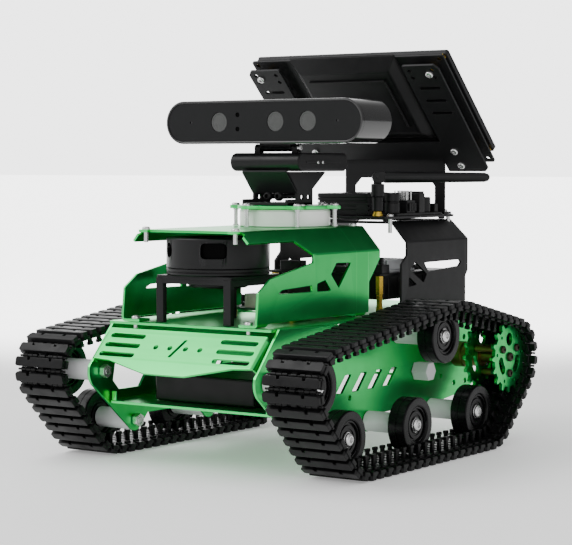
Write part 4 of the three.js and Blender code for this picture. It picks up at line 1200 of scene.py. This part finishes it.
def add_screen_bracket():
    tilt = screen_frame()
    arm = [(53, 0), (79, 0), (82, 4), (82, 106), (79, 109), (48, 109), (48, 96)]
    outline = arm + [(-x, v) for x, v in reversed(arm)] + [(-53, 78), (53, 78)]
    slots = [stadium(x, v, 17, 2.8) for x, v in grid((-67.5, 67.5), (22.5, 35, 47.5))]
    holes = [circle(x, v, 1.5, 16) for x, v in grid((-58, 58, -76, 76), (5, 12))]
    low, middle = -16, -3
    sheet = plate(softened(outline, 1.2), slots + holes, low, -14.1, 0.3)
    piece("screen_bracket_sheet", moved(sheet, tilt @ at(middle, 0, 0)), "black_metal",
          stands_for="screen_bracket")
    turn = Matrix.Rotation(math.pi, 4, "X")
    heads = [moved(button_head(2.9, 1.9), at(side * x + middle, v, low) @ turn)
             for side in (-1, 1) for x, v in ((73, 8.5), (61.5, 87), (61.5, 102))]
    piece("screen_bracket_screws", moved(joined(*heads), tilt), "steel")


def add_screen_stand():
    """Portal stand, drawn upright, with its sloping fold towards the front."""
    y, foot, bend = 147.0, 163.1, 204.6
    fold = 20
    reach = 11
    lean = math.pi / 2 - SCREEN_LEAN
    # Flat pattern: x across, distance up the sheet from the fold between foot and legs.
    height = bend - foot
    legs = [(-44, 0), (-44, height + fold), (44, height + fold), (44, 0), (35.5, 0),
            (33, 2.5), (35.5, 9), (35.5, 184 - foot), (30, 190 - foot), (-30, 190 - foot),
            (-35.5, 184 - foot), (-35.5, 9), (-33, 2.5), (-35.5, 0)]
    holes = [circle(x, height + 12, 1.7, 16) for x in (-36, 0, 36)]
    sheet = plate(softened(legs, 0.8, 2), holes, 0, 1.6, 0.25)
    radius = 2.4
    half = radius * math.tan(lean / 2)
    scored(sheet, height, half, Vector((0, 1, 0)))
    for v in sheet.verts:
        rise, fall, heading = along_folds(v.co.y, [(height, lean)], radius)
        out = v.co.z
        v.co.y = y + fall + out * math.cos(heading)
        v.co.z = foot + rise + out * math.sin(heading)
    feet = both_sides(flat(35.5, 44, y, y + reach, 1, foot, foot + 1.6, 0.25))
    bmesh.ops.recalc_face_normals(sheet, faces=sheet.faces)
    piece("screen_stand_sheet", joined(sheet, *feet), "black_metal", stands_for="screen_stand")
    screws = [screw_up(x, 153.5, foot + 1.6, 2.6, 1.8) for x in (-40, 40)]
    piece("screen_stand_screws", joined(*screws), "steel")


# ------------------------------------------------------------------ antenna
def add_antenna():
    c = centre("antenna_socket")
    hinge, radius, end = corners("antenna_base")[1].z - 3, 4.1, 80.5
    shoulder = hinge - radius - 0.5
    place = at(c.x, c.y, 0) @ Matrix.Rotation(math.radians(35), 4, "Z")
    nut = lathe([(163.1, 0), (163.1, 3.8), (164.7, 3.8), (164.7, 3.0), (166.2, 3.0),
                 (166.2, 0)], 12)
    piece("antenna_nut", moved(nut, place), "brass", stands_for="antenna_socket")
    barrel = lathe([(166.5, 0), (166.5, 3.5), (166.9, 3.8), (176.5, 3.9), (177.3, 4.8),
                    (shoulder - 0.6, 4.8), (shoulder, 4.3), (shoulder, 0)], 40)
    tongue = arc(0, hinge, 3, 0, 180, 18) + [(-3, shoulder - 1), (3, shoulder - 1)]
    tongue = moved(plate(tongue, (), -1.2, 1.2, 0.3), ALONG_Y)
    piece("antenna_mast_shell", moved(joined(barrel, tongue), place), "plastic",
          body="antenna_mast", stands_for="antenna_base")
    stem = lathe([(4.6, 0), (4.6, radius - 0.2), (4.8, radius), (14.6, radius), (end - 4, 3.4),
                  (end - 1.4, 2.6), (end - 0.3, 1.3), (end, 0)], 40)
    cheek = arc(0, hinge, radius, 90, 270, 24) + [(5.4, hinge - 3.4), (5.4, hinge + 3.4)]
    cheeks = [moved(plate(cheek, (), y0, y0 + 2.3, 0.5), ALONG_Y) for y0 in (-3.8, 1.5)]
    blade = joined(moved(stem, at(0, 0, hinge) @ ALONG_X), *cheeks)
    piece("antenna_blade_shell", moved(blade, place), "plastic", body="antenna_blade",
          stands_for="antenna_rod")
    pin = moved(rod(1.4, -4.0, 4.0), at(0, 0, hinge) @ ALONG_Y)
    piece("antenna_pin", moved(pin, place), "plastic", body="antenna_mast")


# ------------------------------------------------------------------ studio
BACKDROP = Vector((-0.566, 0.824, 0))         # level direction towards the bright backdrop
BACKDROP_GLOW = 3.6


def ramped(nodes, links, value, start, end, low, high):
    """A number that rises from low to high while the value goes from start to end."""
    node = nodes.new("ShaderNodeMapRange")
    node.interpolation_type = "SMOOTHSTEP"
    for key, number in (("From Min", start), ("From Max", end), ("To Min", low), ("To Max", high)):
        node.inputs[key].default_value = number
    links.new(value, node.inputs["Value"])
    return node.outputs["Result"]


def combined(nodes, links, operation, first, second):
    node = nodes.new("ShaderNodeMath")
    node.operation = operation
    links.new(first, node.inputs[0])
    links.new(second, node.inputs[1])
    return node.outputs["Value"]


def towards(nodes, links, vector, direction):
    """Cosine of the angle between a vector and a fixed direction."""
    unit = nodes.new("ShaderNodeVectorMath")
    unit.operation = "NORMALIZE"
    links.new(vector, unit.inputs[0])
    dot = nodes.new("ShaderNodeVectorMath")
    dot.operation = "DOT_PRODUCT"
    dot.inputs[1].default_value = direction
    links.new(unit.outputs["Vector"], dot.inputs[0])
    return dot.outputs["Value"]


def add_floor():
    """White floor that glows behind the object, so that it runs into the backdrop."""
    mesh = bpy.data.meshes.new("floor")
    far = 30
    mesh.from_pydata([(u, v, 0) for u, v in rectangle(-far, far, -far, far)], [], [(0, 1, 2, 3)])
    floor = linked("floor", mesh)
    floor.location.z = -0.0004
    paint = bpy.data.materials.new("floor")
    paint.use_nodes = True
    nodes, links = paint.node_tree.nodes, paint.node_tree.links
    shader = nodes["Principled BSDF"]
    shader.inputs["Base Color"].default_value = (0.93, 0.93, 0.93, 1)
    shader.inputs["Roughness"].default_value = 0.75
    shader.inputs["Emission Color"].default_value = (1, 1, 1, 1)
    place = nodes.new("ShaderNodeTexCoord").outputs["Object"]
    length = nodes.new("ShaderNodeVectorMath")
    length.operation = "LENGTH"
    links.new(place, length.inputs[0])
    away = ramped(nodes, links, length.outputs["Value"], 0.3, 1.2, 0, 1)
    behind = ramped(nodes, links, towards(nodes, links, place, BACKDROP), 0.80, 0.94, 0, 1)
    glow = combined(nodes, links, "MULTIPLY", away, behind)
    strength = ramped(nodes, links, glow, 0, 1, 0.25, BACKDROP_GLOW)
    links.new(strength, shader.inputs["Emission Strength"])
    mesh.materials.append(paint)


def add_world():
    """Soft surroundings: a bright backdrop and one dark region, for shape in the metal."""
    world = bpy.data.worlds.new("studio")
    bpy.context.scene.world = world
    world.use_nodes = True
    nodes, links = world.node_tree.nodes, world.node_tree.links
    place = nodes.new("ShaderNodeTexCoord").outputs["Generated"]
    plain = ramped(nodes, links, towards(nodes, links, place, (0.42, 0.84, 0.34)),
                   0.62, 0.93, 1.0, 0.32)
    backdrop = ramped(nodes, links, towards(nodes, links, place, BACKDROP),
                      0.88, 0.955, 0, BACKDROP_GLOW)
    links.new(combined(nodes, links, "MAXIMUM", plain, backdrop),
              nodes["Background"].inputs["Strength"])
    nodes["Background"].inputs["Color"].default_value = (1, 1, 1, 1)


def add_light(name, position, target, size, power):
    data = bpy.data.lights.new(name, "AREA")
    data.size = size
    data.energy = power
    aimed(linked(name, data), position, Vector(target) - Vector(position))


def add_studio():
    add_floor()
    add_world()
    add_light("key", (-1.3, -1.3, 1.6), (0, 0, 0.1), 1.2, 22)
    add_light("top", (-1.1, -0.3, 1.9), (0, 0, 0.1), 1.3, 11)
    add_light("fill", (1.7, -1.2, 0.8), (0, 0, 0.12), 0.9, 6)


# ------------------------------------------------------------------ assembly
add_camera()
add_studio()
for side_name, side_sign in SIDES:
    add_track(side_name)
    add_wheels(side_name, side_sign)
    add_sprocket(side_name, side_sign)
    add_motor(side_name, side_sign)
    add_side_plate(side_name, side_sign)
add_hull_plates()
add_bumper()
add_battery()
add_front_cover()
add_rear_cover()
add_rear_deck()
add_lidar()
add_lidar_bracket()
add_front_board()
add_driver_board()
add_computer()
add_connector_board()
add_drum()
add_camera_bracket()
add_camera_foot()
add_depth_camera()
add_screen()
add_screen_bracket()
add_screen_stand()
add_antenna()
